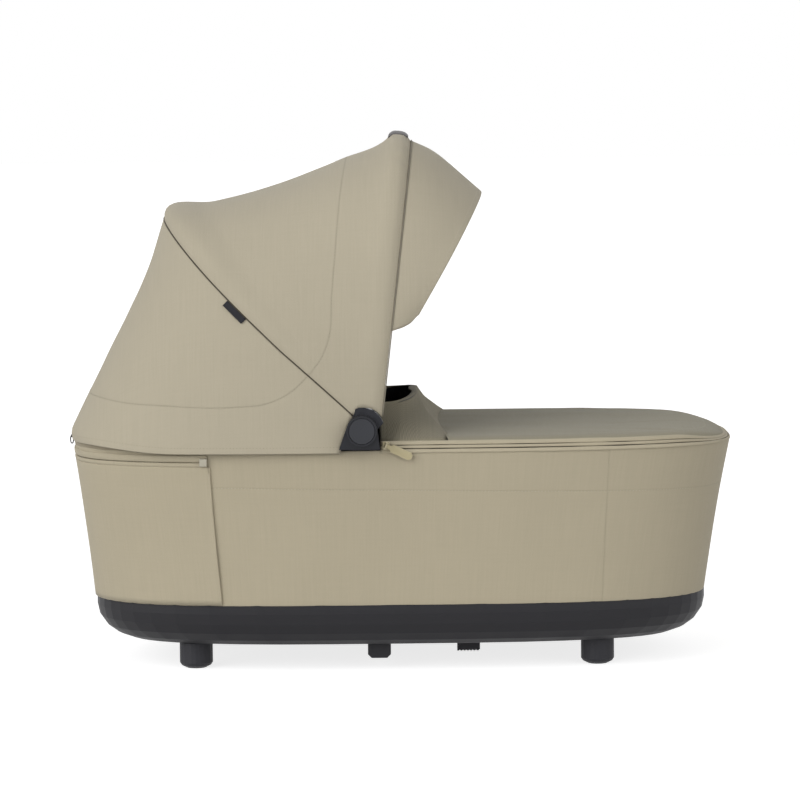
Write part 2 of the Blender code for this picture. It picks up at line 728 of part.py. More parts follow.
def make_liner():
    """Cloth lining: a bag with an open top inside the frame."""
    skins = []
    for depth in (0.0, LINER_THICKNESS):
        rings = []
        for degrees in (0, 25, 50, 75):
            inset, z = liner_corner(depth, math.radians(degrees))
            rings.append(wall_ring(z, inset, count=PLAN_POINTS))
        for z in (LINER_BOTTOM_Z + LINER_CORNER, RIM_Z):
            rings.append(wall_ring(z, LINER_INSET + depth))
        skins.append(rings)
    finish(skin(skins[0] + list(reversed(skins[1]))), "inner_lining", ("dark cloth", DARK_CLOTH))


def make_mattress():
    """Crowned mattress on the lining's floor, drawn in at its lower edge."""
    bottom = LINER_BOTTOM_Z + LINER_THICKNESS + TOUCH
    inner = LINER_INSET + LINER_THICKNESS + MATTRESS_SIDE_GAP
    rings = []
    for level, inset in zip(MATTRESS_LEVEL_SHARES, MATTRESS_INSET_SHARES):
        z = bottom + MATTRESS_HEIGHT * level
        rings.append(wall_ring(z, inner + LINER_CORNER * inset))
    crown_z = bottom + MATTRESS_HEIGHT + MATTRESS_CROWN
    rings.append(wall_ring(crown_z, inner + 2 * LINER_CORNER))
    finish(skin(rings), "mattress", ("foam", FOAM))


def ring_part(ring, start_x, limit_x, sign):
    """Open stretch of a plan ring past a place along X, from the right side round to the left side."""
    order = sorted(ring, key=lambda point: math.atan2(point.y, sign * point.x))
    kept = [point for point in order if sign * (point.x - limit_x) > 0]
    first, last = order.index(kept[0]), order.index(kept[-1])
    ends = []
    for inner, outer in ((kept[0], order[first - 1]), (kept[-1], order[last + 1])):
        share = (start_x - inner.x) / (outer.x - inner.x)
        ends.append(inner.lerp(outer, share))
    return [ends[0]] + kept + [ends[1]]


def band(levels, insets, starts, thickness, toward_foot):
    """Band on the wall through some levels, each with its own inset and its own start along X."""
    sign = 1 if toward_foot else -1
    limit = sign * max(sign * start for start in starts) + sign * BAND_END_GAP
    rows = []
    for z, inset, start in zip(levels, insets, starts):
        rows.append(ring_part(wall_ring(min(z, RIM_Z), inset, level=z), start, limit, sign))
    level = Vector((0, 0, 1))
    return cloth(rows, thickness, (0, 0, levels[0]), first_plane=level, last_plane=level)


def make_zips():
    """Head wrap, zip tapes, the sliders and the hanging pull tab."""
    out = -(2 * TOUCH + WRAP_THICKNESS)
    low, high = TUB_TOP_Z + 2 * TOUCH, WRAP_TOP_Z
    starts = (WRAP_EDGE_BOTTOM_X, (WRAP_EDGE_BOTTOM_X + WRAP_EDGE_TOP_X) / 2, WRAP_EDGE_TOP_X)
    wrap = band((low, (low + high) / 2, high), (out, COVER_HOLLOW + out, out), starts, WRAP_THICKNESS, False)
    finish(wrap, "head_wrap", ("wall cloth", WALL_CLOTH))
    out = -(2 * TOUCH + TAPE_THICKNESS)
    ends = (HEAD_TAPE_END_X, HEAD_TAPE_END_X)
    head = band((HEAD_TAPE_BOTTOM_Z, RIM_Z), (out, out), ends, TAPE_THICKNESS, False)
    finish(head, "head_zip_tape", ("tape cloth", TAPE_CLOTH))
    ends = (PLATE_FOOT_X + SEAM_GAP, PLATE_FOOT_X + SEAM_GAP)
    foot = band((RIM_Z + TOUCH, FOOT_TAPE_TOP_Z), (0.0, FOOT_TAPE_LEAN), ends, TAPE_THICKNESS, True)
    finish(foot, "foot_zip_tape", ("tape cloth", TAPE_CLOTH))
    ends = (PLATE_HEAD_X - SEAM_GAP, PLATE_HEAD_X - SEAM_GAP)
    hood = band((RIM_Z + TOUCH, HOOD_TAPE_TOP_Z), (0.0, -HOOD_TAPE_FLARE), ends, TAPE_THICKNESS, False)
    finish(hood, "hood_zip_tape", ("tape cloth", TAPE_CLOTH))

    end_y = -(wall_half_width(HEAD_TAPE_END_X, HEAD_SLIT_Z) + TAPE_THICKNESS + 2 * TOUCH)
    low = (HEAD_TAPE_END_X - SLIDER_LENGTH, end_y - SLIDER_THICKNESS, HEAD_SLIT_Z - SLIDER_HEIGHT / 2)
    high = (HEAD_TAPE_END_X, end_y - TOUCH, HEAD_SLIT_Z + SLIDER_HEIGHT / 2)
    block = box(low, high)
    bmesh.ops.bevel(block, geom=block.edges[:], offset=SLIDER_THICKNESS / 4, affect="EDGES", segments=1)
    finish(block, "head_zip_slider", ("khaki metal", KHAKI_METAL))
    make_foot_zip_slider()


def slider_face():
    """Distance from the middle of the cot to the inner face of the foot zip's slider."""
    return wall_half_width(SLIDER_X, RIM_Z) - FOOT_TAPE_LEAN / 4 + TOUCH


def pull_frame():
    """Origin on the tab's pin, and the directions along the tab, along the pin and away from the wall."""
    face = slider_face()
    origin = Vector((SLIDER_X, -(face + SLIDER_THICKNESS + KNUCKLE_RADIUS + TOUCH), SLIDER_Z))
    along = Vector((math.cos(PULL_TILT), 0, -math.sin(PULL_TILT)))
    pin = Vector((math.sin(PULL_TILT), 0, math.cos(PULL_TILT)))
    return origin, along, pin, Vector((0, -1, 0))


def framed_box(frame, low, high):
    """Box whose sides follow a frame of three directions."""
    origin, first, second, third = frame
    mesh = box(low, high)
    turn = Matrix((first, second, third)).transposed().to_4x4()
    bmesh.ops.transform(mesh, matrix=Matrix.Translation(origin) @ turn, verts=mesh.verts)
    return mesh


def make_foot_zip_slider():
    """Slider on the foot zip with two ears and a pin, and the tab that turns on that pin."""
    frame = pull_frame()
    origin, along, pin, out = frame
    face = slider_face()
    low = (SLIDER_X - SLIDER_LENGTH / 2, -(face + SLIDER_THICKNESS), SLIDER_Z - SLIDER_HEIGHT / 2)
    high = (SLIDER_X + SLIDER_LENGTH / 2, -face, SLIDER_Z + SLIDER_HEIGHT / 2)
    block = box(low, high)
    bmesh.ops.bevel(block, geom=block.edges[:], offset=SLIDER_THICKNESS / 5, affect="EDGES", segments=1)
    slider = finish(block, "foot_zip_slider", ("khaki metal", KHAKI_METAL))
    ear_start = KNUCKLE_WIDTH / 2 + TOUCH
    ear_end = ear_start + EAR_THICKNESS
    reach = KNUCKLE_RADIUS + TOUCH + SLIDER_THICKNESS / 2
    for index, sign in enumerate((-1, 1)):
        span = sorted((sign * ear_start, sign * ear_end))
        ear = framed_box(frame, (-KNUCKLE_RADIUS, span[0], -reach), (KNUCKLE_RADIUS, span[1], KNUCKLE_RADIUS))
        combine(slider, ear, "UNION", f"slider_ear_guide_{index}")
    middle = mix(ear_start, ear_end, 0.5)
    combine(slider, rod(origin - pin * middle, origin + pin * middle, PIN_WIRE_RADIUS, 12), "UNION", "pin_guide")

    knuckle_half = KNUCKLE_WIDTH / 2
    knuckle = rod(origin - pin * knuckle_half, origin + pin * knuckle_half, KNUCKLE_RADIUS, 16)
    pull = finish(knuckle, "foot_zip_pull", ("khaki metal", KHAKI_METAL), pivot=origin)
    half = PULL_THICKNESS / 2
    neck_half = knuckle_half * PULL_NECK_SHARE
    neck = framed_box(frame, (PULL_THICKNESS / 4, -neck_half, -half), (PULL_NECK, neck_half, half))
    combine(pull, neck, "UNION", "pull_neck_guide")
    start = PULL_NECK - PULL_THICKNESS / 2
    plate = framed_box(frame, (start, -PULL_WIDTH / 2, -half), (PULL_LENGTH, PULL_WIDTH / 2, half))
    upright = [edge for edge in plate.edges if abs((edge.verts[1].co - edge.verts[0].co).normalized().dot(out)) > 0.9]
    bmesh.ops.bevel(plate, geom=upright, offset=PULL_WIDTH / 5, affect="EDGES", segments=2)
    combine(pull, plate, "UNION", "pull_plate_guide")
    bore = rod(
        origin - pin * KNUCKLE_WIDTH, origin + pin * KNUCKLE_WIDTH, PIN_WIRE_RADIUS + RUNNING, 12
    )
    combine(pull, bore, "DIFFERENCE", "pull_bore_cutter")


def hinge_levels():
    """Distances from the middle of the cot to the faces of the hinge's layers."""
    lug_inner = CHEEK_INNER_Y + CHEEK_THICKNESS + SIDE_CLEARANCE
    socket_inner = lug_inner + LUG_THICKNESS + SIDE_CLEARANCE
    plate_inner = SOCKET_OUTER_Y + SIDE_CLEARANCE
    return lug_inner, socket_inner, plate_inner


def make_hinge(side, sign):
    """Fixed housing, its pin and its push button."""
    _, _, plate_inner = hinge_levels()
    outline = [(PLATE_HEAD_X, PLATE_BOTTOM_Z), (PLATE_FOOT_X, PLATE_BOTTOM_Z)]
    outline += arc(HINGE_X, HINGE_Z, RING_RADIUS, 0, 150, 12)
    housing = finish(
        slab(outline, sign * plate_inner, sign * PLATE_OUTER_Y),
        f"hinge_housing_{side}", ("grey plastic", GREY_PLASTIC),
    )
    middle = mix(plate_inner, PLATE_OUTER_Y, 0.5)
    ring = rod((HINGE_X, sign * middle, HINGE_Z), (HINGE_X, sign * RING_OUTER_Y, HINGE_Z), RING_RADIUS - TOUCH, 32)
    combine(housing, ring, "UNION", f"ring_guide_{side}")
    web = box(
        (WEB_HEAD_X, min(sign * CHEEK_INNER_Y, sign * middle), PLATE_BOTTOM_Z),
        (WEB_FOOT_X, max(sign * CHEEK_INNER_Y, sign * middle), WEB_TOP_Z),
    )
    combine(housing, web, "UNION", f"web_guide_{side}")
    cheek_outline = [(WEB_HEAD_X + TOUCH, mix(PLATE_BOTTOM_Z, WEB_TOP_Z, 0.5))]
    cheek_outline += [(WEB_FOOT_X - TOUCH, mix(PLATE_BOTTOM_Z, WEB_TOP_Z, 0.5))]
    cheek_outline += arc(HINGE_X, HINGE_Z, CHEEK_RADIUS, 0, 180, 10)
    cheek = slab(cheek_outline, sign * CHEEK_INNER_Y, sign * (CHEEK_INNER_Y + CHEEK_THICKNESS))
    combine(housing, cheek, "UNION", f"cheek_guide_{side}")
    tube_top = RIM_Z - RIM_TUBE_DROP_SHARE * RIM_TUBE_RADIUS
    clamp_inner = CHEEK_INNER_Y + TOUCH
    clamp_outer = RIM_HALF_WIDTH - COVER_THICKNESS - 2 * TOUCH
    clamp = box(
        (WEB_HEAD_X + OVERRUN, min(sign * clamp_inner, sign * clamp_outer), tube_top + TOUCH),
        (WEB_FOOT_X - OVERRUN, max(sign * clamp_inner, sign * clamp_outer), mix(PLATE_BOTTOM_Z, WEB_TOP_Z, 0.5)),
    )
    combine(housing, clamp, "UNION", f"clamp_guide_{side}")
    recess_floor = RING_OUTER_Y - BUTTON_STAND - BUTTON_THICKNESS - BUTTON_RECESS
    recess_radius = RING_RADIUS - RING_WIDTH
    recess = rod(
        (HINGE_X, sign * recess_floor, HINGE_Z), (HINGE_X, sign * (RING_OUTER_Y + OVERRUN), HINGE_Z),
        recess_radius, 32,
    )
    combine(housing, recess, "DIFFERENCE", f"recess_cutter_{side}")
    pin_end = recess_floor - OVERRUN
    bore = rod(
        (HINGE_X, sign * (CHEEK_INNER_Y - OVERRUN), HINGE_Z), (HINGE_X, sign * (pin_end + TOUCH), HINGE_Z),
        PIN_RADIUS + RUNNING,
    )
    combine(housing, bore, "DIFFERENCE", f"housing_bore_cutter_{side}")
    pin = rod((HINGE_X, sign * CHEEK_INNER_Y, HINGE_Z), (HINGE_X, sign * pin_end, HINGE_Z), PIN_RADIUS)
    finish(pin, f"hinge_pin_{side}", ("steel", STEEL))

    button_inner = recess_floor + BUTTON_RECESS
    button = rod(
        (HINGE_X, sign * button_inner, HINGE_Z), (HINGE_X, sign * (button_inner + BUTTON_THICKNESS), HINGE_Z),
        recess_radius - TOUCH, 32,
    )
    finish(button, f"hinge_button_{side}", ("grey plastic", GREY_PLASTIC), pivot=(HINGE_X, sign * button_inner, HINGE_Z))


def bow_path(start):
    """Middle line of the carry bow."""
    drop = HOOD_FABRIC + BOW_COVER_DEPTH - HOOD_FABRIC + BOW_HALF_THICKNESS
    return bow_curve(bow_plane(), BOW_REACH - drop, HOOD_HALF_WIDTH - drop, BOW_EXPONENT, start, BOW_POINTS)


def make_front_bow(carrier):
    """Carry bow with its two sockets, its grip and the studs that the visor turns on."""
    lug_inner, socket_inner, _ = hinge_levels()
    tube_start = PIN_RADIUS + 2 * OVERRUN
    plane = bow_plane()
    tube = sweep(bow_path(tube_start), plane.normal(), (BOW_HALF_DEPTH, BOW_HALF_THICKNESS))
    pivot = (HINGE_X, 0, HINGE_Z)
    finish(tube, "carry_bow", ("steel", STEEL), pivot=pivot, parent=carrier)
    leg_y = HOOD_HALF_WIDTH - BOW_COVER_DEPTH - BOW_HALF_THICKNESS
    for side, sign in (("right", -1), ("left", 1)):
        outline = arc(HINGE_X, HINGE_Z, SOCKET_BIG_RADIUS, 18, 106, 8)
        outline += arc(HINGE_X, HINGE_Z, SOCKET_SMALL_RADIUS, 134, 350, 12)
        socket = finish(
            slab(outline, sign * socket_inner, sign * SOCKET_OUTER_Y),
            f"bow_socket_{side}", ("grey plastic", GREY_PLASTIC), pivot=pivot, parent=carrier,
        )
        start, end = plane.at(tube_start - TOUCH, sign * leg_y), plane.at(SOCKET_BIG_RADIUS + OVERRUN, sign * leg_y)
        halves = (BOW_HALF_DEPTH + TOUCH, BOW_HALF_THICKNESS + TOUCH)
        combine(socket, sweep([start, end], plane.normal(), halves), "DIFFERENCE", f"pocket_cutter_{side}")
        bore = rod(
            (HINGE_X, sign * (socket_inner - OVERRUN), HINGE_Z), (HINGE_X, sign * (SOCKET_OUTER_Y + OVERRUN), HINGE_Z),
            PIN_RADIUS + RUNNING,
        )
        combine(socket, bore, "DIFFERENCE", f"socket_bore_cutter_{side}")
        stud_outer = bow_half_width(VISOR_PIVOT_REACH) - BOW_HALF_THICKNESS - TOUCH
        stud_inner = stud_outer - VISOR_LUG_THICKNESS - 2 * TOUCH
        stud = rod(
            (VISOR_PIVOT.x, sign * stud_inner, VISOR_PIVOT.z), (VISOR_PIVOT.x, sign * stud_outer, VISOR_PIVOT.z),
            VISOR_STUD_RADIUS,
        )
        finish(stud, f"visor_stud_{side}", ("steel", STEEL), pivot=pivot, parent=carrier)
    make_grip(carrier, pivot)


def bow_half_width(reach):
    """Half-width of the carry bow's middle line at a distance from the hinge."""
    drop = BOW_COVER_DEPTH + BOW_HALF_THICKNESS
    share = reach / (BOW_REACH - drop)
    return (HOOD_HALF_WIDTH - drop) * (1 - share**BOW_EXPONENT) ** (1 / BOW_EXPONENT)


def bow_rows():
    """Offset, reach drop and width drop of the cloth's lines over the carry bow, from its rear to its front."""
    return (
        (BOW_OFFSET - BOW_REAR_DEPTH, BOW_REAR_DROP, 0.0),
        (BOW_OFFSET - SHOULDER_DEPTH, SHOULDER_DROP / 4, 0.0),
        (BOW_OFFSET, SHOULDER_DROP / 4, 0.0),
        (BOW_OFFSET + SHOULDER_DEPTH, SHOULDER_DROP, SHOULDER_DROP),
        (BOW_OFFSET + SEAM_FORWARD, SEAM_DROP, SEAM_DROP),
    )


def bow_line(row, start, raised=0.0, count=CLOTH_POINTS):
    """One of the cloth's lines over the carry bow."""
    offset, reach_drop, width_drop = row
    reach = BOW_REACH - reach_drop + raised
    half_width = HOOD_HALF_WIDTH - width_drop + raised
    return bow_curve(bow_plane(offset), reach, half_width, BOW_EXPONENT, start, count)


def make_grip(carrier, pivot):
    """Soft grip over the cloth at the top of the carry bow."""
    middle = (HINGE_X, 0, HINGE_Z)
    under = []
    for row in bow_rows()[:4]:
        line = bow_line(row, BOW_REACH / 2, count=4 * CLOTH_POINTS)
        under.append(resample([point for point in line if abs(point.y) < GRIP_HALF_SPAN], 10))
    rise = 2 * TOUCH + GRIP_THICKNESS
    rows = []
    for line, outward in zip(under, grid_normals(under, middle)):
        rows.append([point + normal * rise for point, normal in zip(line, outward)])
    grip = cloth(rows, GRIP_THICKNESS, middle)
    finish(grip, "handle_grip", ("grip hide", GRIP_HIDE), pivot=pivot, parent=carrier)


def make_mid_bow(carrier):
    """Middle bow: a round bar with flat lugs on the hinge pins, and the label sewn beside its seam."""
    lug_inner, _, _ = hinge_levels()
    lug_y = lug_inner + LUG_THICKNESS / 2
    arch = bow_curve(
        MID_PLANE, MID_REACH - MID_COVER_DEPTH, HOOD_HALF_WIDTH - MID_COVER_DEPTH,
        MID_EXPONENT, 3 * SOCKET_BIG_RADIUS, BOW_POINTS,
    )
    flat = LUG_THICKNESS / 2
    near_hinge = [(along * MID_LUG_RADIUS, wide * MID_LUG_RADIUS, flat) for along, wide in MID_LUG_SHARES]
    near_hinge += [(along * SOCKET_BIG_RADIUS, MID_RADIUS, flat) for along, _ in MID_LEG_SHARES[:-1]]
    along, thick = MID_LEG_SHARES[-1]
    near_hinge.append((along * SOCKET_BIG_RADIUS, MID_RADIUS, thick * MID_RADIUS))
    leg_ys = [lug_y] * (len(near_hinge) - 1)
    leg_ys.append(mix(lug_y, HOOD_HALF_WIDTH - MID_COVER_DEPTH, MID_LEG_SPREAD_SHARE))
    right = [MID_PLANE.at(reach, -y) for (reach, _, _), y in zip(near_hinge, leg_ys)]
    left = [MID_PLANE.at(reach, y) for (reach, _, _), y in zip(near_hinge, leg_ys)]
    halves = [(deep, thick) for _, deep, thick in near_hinge]
    path = right + arch + list(reversed(left))
    sizes = halves + [(MID_RADIUS, MID_RADIUS)] * len(arch) + list(reversed(halves))
    pivot = (HINGE_X, 0, HINGE_Z)
    bow = finish(sweep(path, MID_PLANE.normal(), sizes), "mid_bow", ("steel", STEEL), pivot=pivot, parent=carrier)
    bore = rod((HINGE_X, -CHEEK_INNER_Y, HINGE_Z), (HINGE_X, CHEEK_INNER_Y, HINGE_Z), PIN_RADIUS + RUNNING)
    bmesh.ops.scale(bore, vec=(1, SOCKET_OUTER_Y / CHEEK_INNER_Y, 1), verts=bore.verts)
    combine(bow, bore, "DIFFERENCE", "mid_bow_bore_cutter")


def make_label(carrier):
    """Small woven label that lies on the rear panel beside the middle seam."""
    places = []
    for reach in (LABEL_RADIUS_AT, LABEL_RADIUS_AT + LABEL_LENGTH):
        share = reach / (MID_REACH - RIDGE_DEPTH)
        half_width = (HOOD_HALF_WIDTH - RIDGE_DEPTH / 4) * (1 - share**MID_EXPONENT) ** (1 / MID_EXPONENT)
        y = -(half_width + LABEL_THICKNESS + TOUCH)
        plane = MID_PLANE.shifted(-SEAM_GAP)
        places.append([plane.at(reach, y), plane.shifted(-LABEL_WIDTH).at(reach, y)])
    label = cloth(places, LABEL_THICKNESS, (HINGE_X, 0, HINGE_Z))
    finish(label, "seam_label", ("dark cloth", DARK_CLOTH), pivot=(HINGE_X, 0, HINGE_Z), parent=carrier)


def between(low, high, rows, sag, exponent=2.0, skew=1.0):
    """Lines between two lines, drawn in towards the hood's inside near the top. Skew moves the deepest line."""
    lines = []
    middle = Vector((HINGE_X, 0, HINGE_Z))
    top = max(((point - middle).length for point in high))
    for row in range(1, rows):
        share = row / rows
        line = []
        for first, second in zip(low, high):
            place = first.lerp(second, share)
            inward = middle + Vector((0, place.y, 0)) - place
            height = min(1.0, inward.length / top) ** exponent
            line.append(place + inward.normalized() * sag * height * math.sin(math.pi * share**skew))
        lines.append(line)
    return lines


def ridge_line(offset, drop, start):
    """Line of the cloth along the middle bow, beside its plane and lower by the drop at the top."""
    half_width = HOOD_HALF_WIDTH - drop / 4
    return bow_curve(MID_PLANE.shifted(offset), MID_REACH - drop, half_width, MID_EXPONENT, start, CLOTH_POINTS)


def make_hood_cloth(bow_carrier):
    """Rear and front panels of the hood."""
    half_gap = SEAM_GAP / 2
    hem = bow_curve(HEM_PLANE, HEM_REACH, HOOD_HALF_WIDTH, HEM_EXPONENT, HINGE_CLEAR_FRONT, CLOTH_POINTS)
    seam_rear = ridge_line(-half_gap, RIDGE_DEPTH, HINGE_CLEAR_REAR)
    rear = [hem] + between(hem, seam_rear, 5, REAR_SAG, skew=REAR_SKEW) + [seam_rear]
    inside = (HINGE_X - MID_REACH / 3, 0, HINGE_Z + MID_REACH / 5)
    panel = cloth(rear, HOOD_FABRIC, inside, first_plane=Vector((0, 0, 1)), last_plane=MID_PLANE.normal())
    finish(panel, "hood_rear_panel", ("hood cloth", HOOD_CLOTH))

    seam_front = ridge_line(half_gap, RIDGE_DEPTH, HINGE_CLEAR_SIDE)
    shoulder = ridge_line(half_gap + RIDGE_DEPTH, 0.0, HINGE_CLEAR_SIDE)
    over_bow = []
    for row in bow_rows():
        start = math.sqrt(HINGE_CLEAR_FRONT**2 - row[0] ** 2)
        over_bow.append(bow_line(row, start))
    front = [seam_front, shoulder] + between(shoulder, over_bow[0], 5, ROOF_SAG) + over_bow
    panel = cloth(front, HOOD_FABRIC, inside, first_plane=MID_PLANE.normal(), last_plane=bow_plane().normal())
    look = ("hood cloth", HOOD_CLOTH)
    finish(panel, "hood_front_panel", look, pivot=(HINGE_X, 0, HINGE_Z), parent=bow_carrier)


def make_visor(bow_carrier, carrier):
    """Visor cloth on the carry bow's front seam, and the wire rim that turns inside it."""
    offset, reach_drop, width_drop = bow_rows()[-1]
    start = (VISOR_LOW_Z - HINGE_Z) / math.sin(BOW_TILT)
    seam = bow_line((offset + 2 * TOUCH, reach_drop, width_drop), start)
    edge_plane = Plane(VISOR_EDGE_X, VISOR_EDGE_Z, VISOR_EDGE_TILT)
    edge = bow_curve(
        edge_plane, VISOR_EDGE_REACH, VISOR_EDGE_HALF_WIDTH, VISOR_EDGE_EXPONENT, 0.0, CLOTH_POINTS
    )
    rows = [seam] + between(seam, edge, 4, -VISOR_CROWN, exponent=1.0) + [edge]
    inside = (HINGE_X, 0, HINGE_Z + VISOR_PIVOT_REACH)
    visor = cloth(rows, VISOR_THICKNESS, inside, first_plane=bow_plane().normal())
    finish(visor, "visor_cloth", ("visor cloth", HOOD_CLOTH), pivot=(HINGE_X, 0, HINGE_Z), parent=bow_carrier)

    plane = Plane(VISOR_PIVOT.x, VISOR_PIVOT.z, VISOR_RIM_TILT)
    arch = bow_curve(
        plane, VISOR_RIM_REACH, VISOR_RIM_HALF_WIDTH, VISOR_RIM_EXPONENT, 4 * VISOR_STUD_RADIUS, BOW_POINTS
    )
    lug_y = bow_half_width(VISOR_PIVOT_REACH) - BOW_HALF_THICKNESS - 2 * TOUCH - VISOR_LUG_THICKNESS / 2
    thick = VISOR_LUG_THICKNESS / 2
    lug = 2 * VISOR_STUD_RADIUS
    reaches = [(along * lug, wide * lug) for along, wide in VISOR_LUG_SHARES]
    right = [plane.at(reach, -lug_y) for reach, _ in reaches]
    left = [plane.at(reach, lug_y) for reach, _ in reaches]
    halves = [(deep, thick) for _, deep in reaches]
    path = right + arch + list(reversed(left))
    sizes = halves + [(VISOR_RIM_RADIUS, VISOR_RIM_RADIUS)] * len(arch) + list(reversed(halves))
    rim = finish(
        sweep(path, plane.normal(), sizes), "visor_rim", ("black plastic", BLACK_PLASTIC),
        pivot=VISOR_PIVOT, parent=carrier,
    )
    for side, sign in (("right", -1), ("left", 1)):
        bore = rod(
            (VISOR_PIVOT.x, sign * (lug_y - VISOR_LUG_THICKNESS), VISOR_PIVOT.z),
            (VISOR_PIVOT.x, sign * (lug_y + VISOR_LUG_THICKNESS), VISOR_PIVOT.z),
            VISOR_STUD_RADIUS + RUNNING,
        )
        combine(rim, bore, "DIFFERENCE", f"visor_bore_cutter_{side}")


def apron_height(x, y):
    """Level of the apron's upper side at a place in plan."""
    edge = FOOT_TAPE_TOP_Z + TOUCH + APRON_THICKNESS * APRON_EDGE_SHARE
    along = max(0.0, (x - APRON_FLAT_X) / (RIM_FOOT_X - APRON_FLAT_X))
    crown = APRON_CROWN * (1 - min(along, 1.0) ** APRON_END_EXPONENT)
    across = min(1.0, abs(y) / wall_half_width(min(x, RIM_FOOT_X - FOOT_TAPE_LEAN), RIM_Z))
    return edge + crown * (1 - across**CROWN_EXPONENT)


def make_apron():
    """Domed foot cover on the foot zip."""
    border = wall_ring(RIM_Z, FOOT_TAPE_LEAN, count=PLAN_POINTS * 8)
    border = [point for point in border if point.y < -APRON_TIP_HALF_WIDTH]
    border = [point for point in border if point.x > APRON_HEAD_X]
    border.sort(key=lambda point: point.x + point.y)
    border.insert(0, Vector((APRON_HEAD_X, -wall_half_width(APRON_HEAD_X, RIM_Z, FOOT_TAPE_LEAN), RIM_Z)))
    rows = []
    for point in resample(border, 18):
        line = []
        for step in range(15):
            y = mix(point.y, -point.y, step / 14)
            line.append(Vector((point.x, y, apron_height(point.x, y))))
        rows.append(line)
    apron = cloth(rows, APRON_THICKNESS, (APRON_FLAT_X, 0, 0), first_plane=Vector((1, 0, 0)))
    finish(apron, "apron", ("wall cloth", WALL_CLOTH))


def flap_axis():
    """Middle of the line that the wind flap folds about, just above the apron's crown."""
    return Vector((APRON_HEAD_X, 0, apron_height(APRON_HEAD_X, 0) + FLAP_AXIS_RISE))


def flap_line(share, low):
    """Place on the flap's lower or upper edge, at a share of the way from the middle to the side."""
    exponent = FLAP_EXPONENT_LOW if low else FLAP_EXPONENT_TOP
    forward = max(0.0, 1 - abs(share) ** exponent) ** (1 / exponent)
    if not low:
        x = mix(WING_HEAD_TOP_X, FLAP_TOP_X, forward)
        z = FLAP_TOP_Z + FLAP_TOP_CROWN * (1 - share**2)
        return Vector((x, share * FLAP_HALF_WIDTH_TOP, z))
    y = share * FLAP_HALF_WIDTH_LOW
    past = max(0.0, (abs(share) - FLAP_SHARE) / (1 - FLAP_SHARE))
    z = mix(apron_height(APRON_HEAD_X, y), FOOT_TAPE_TOP_Z + TOUCH, past) + TOUCH
    return Vector((mix(WING_HEAD_X, APRON_HEAD_X - 2 * TOUCH, forward), y, z))


def make_flap(carrier):
    """Wind flap that stands on the apron's head edge, and the soft wings beside it."""
    inside = (WING_HEAD_X, 0, RIM_Z)
    level = Vector((0, 0, 1))

    def sheet(shares):
        """Rows of the flap's cloth between its lower and its upper edge."""
        low = [flap_line(share, True) for share in shares]
        high = [flap_line(share, False) for share in shares]
        hollow = Vector((-FLAP_HOLLOW, 0, 0))
        middle = [a.lerp(b, 0.5) + hollow * (1 - abs(share)) for a, b, share in zip(low, high, shares)]
        return [low, middle, high]

    shares = [mix(-FLAP_SHARE, FLAP_SHARE, step / 16) for step in range(17)]
    rows = sheet(shares)
    lip = [Vector((-FLAP_LIP * (1 - abs(share) ** 2), 0, FLAP_THICKNESS / 2)) for share in shares]
    rows.append([point + step for point, step in zip(rows[-1], lip)])
    flap = cloth(rows, FLAP_THICKNESS, inside, first_plane=level)
    finish(flap, "wind_flap", ("flap cloth", FLAP_CLOTH), pivot=flap_axis(), parent=carrier)
    start = FLAP_SHARE + WING_GAP_SHARE
    for side, sign in (("right", -1), ("left", 1)):
        shares = [sign * mix(start, 1.0, (step / 7) ** WING_SPREAD) for step in range(8)]
        wing = cloth(sheet(shares), FLAP_THICKNESS, inside, first_plane=level)
        finish(wing, f"flap_wing_{side}", ("flap cloth", FLAP_CLOTH))


def make_hem_ring():
    """Staple under the hood's hem at the head end, and the ring that hangs on it."""
    x = HINGE_X - HEM_REACH + HOOD_FABRIC / 2
    bar_z = HEM_Z - HEM_BAR_DROP
    top = HEM_Z - TOUCH
    path = [
        Vector((x, -HEM_BAR_HALF_WIDTH, top)),
        Vector((x, -HEM_BAR_HALF_WIDTH, bar_z)),
        Vector((x, HEM_BAR_HALF_WIDTH, bar_z)),
        Vector((x, HEM_BAR_HALF_WIDTH, top)),
    ]
    staple = sweep(path, Vector((1, 0, 0)), (HEM_BAR_RADIUS, HEM_BAR_RADIUS), sides=6)
    finish(staple, "hem_staple", ("steel", STEEL))
    hole = HEM_RING_HALF_HEIGHT - HEM_RING_RADIUS
    centre_z = bar_z + HEM_BAR_RADIUS + 2 * TOUCH - hole
    steps = 20
    ring = []
    for step in range(steps):
        turn = math.tau * step / steps
        ring.append(
            Vector((x + HEM_RING_HALF_WIDTH * math.cos(turn), 0, centre_z + HEM_RING_HALF_HEIGHT * math.sin(turn)))
        )
    loop = sweep(ring, Vector((0, 1, 0)), (HEM_RING_RADIUS, HEM_RING_RADIUS), sides=6, path_closed=True)
    finish(loop, "hem_ring", ("steel", STEEL), pivot=(x, 0, bar_z))


def main():
    """Build the carrycot."""
    clear_scene()
    bow_carrier = axis_empty("front_bow_axis", (HINGE_X, 0, HINGE_Z))
    mid_carrier = axis_empty("mid_bow_axis", (HINGE_X, 0, HINGE_Z))
    visor_carrier = axis_empty("visor_axis", VISOR_PIVOT)
    flap_carrier = axis_empty("flap_axis", flap_axis())
    make_tub()
    make_feet()
    make_mounts()
    make_vent()
    make_walls()
    make_zips()
    for side, sign in (("right", -1), ("left", 1)):
        make_hinge(side, sign)
    make_front_bow(bow_carrier)
    make_mid_bow(mid_carrier)
    make_label(mid_carrier)
    make_hood_cloth(bow_carrier)
    make_visor(bow_carrier, visor_carrier)
    make_apron()
    make_flap(flap_carrier)
    make_hem_ring()


main()
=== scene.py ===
"""Looks of a pram's carrycot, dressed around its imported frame.

The head end is at -X, the foot end at +X, the right side at -Y and +Z is up. Sizes are in metres.
"""

from __future__ import annotations

import json
import logging
import math
from dataclasses import dataclass, field, replace
from enum import Enum
from functools import cache

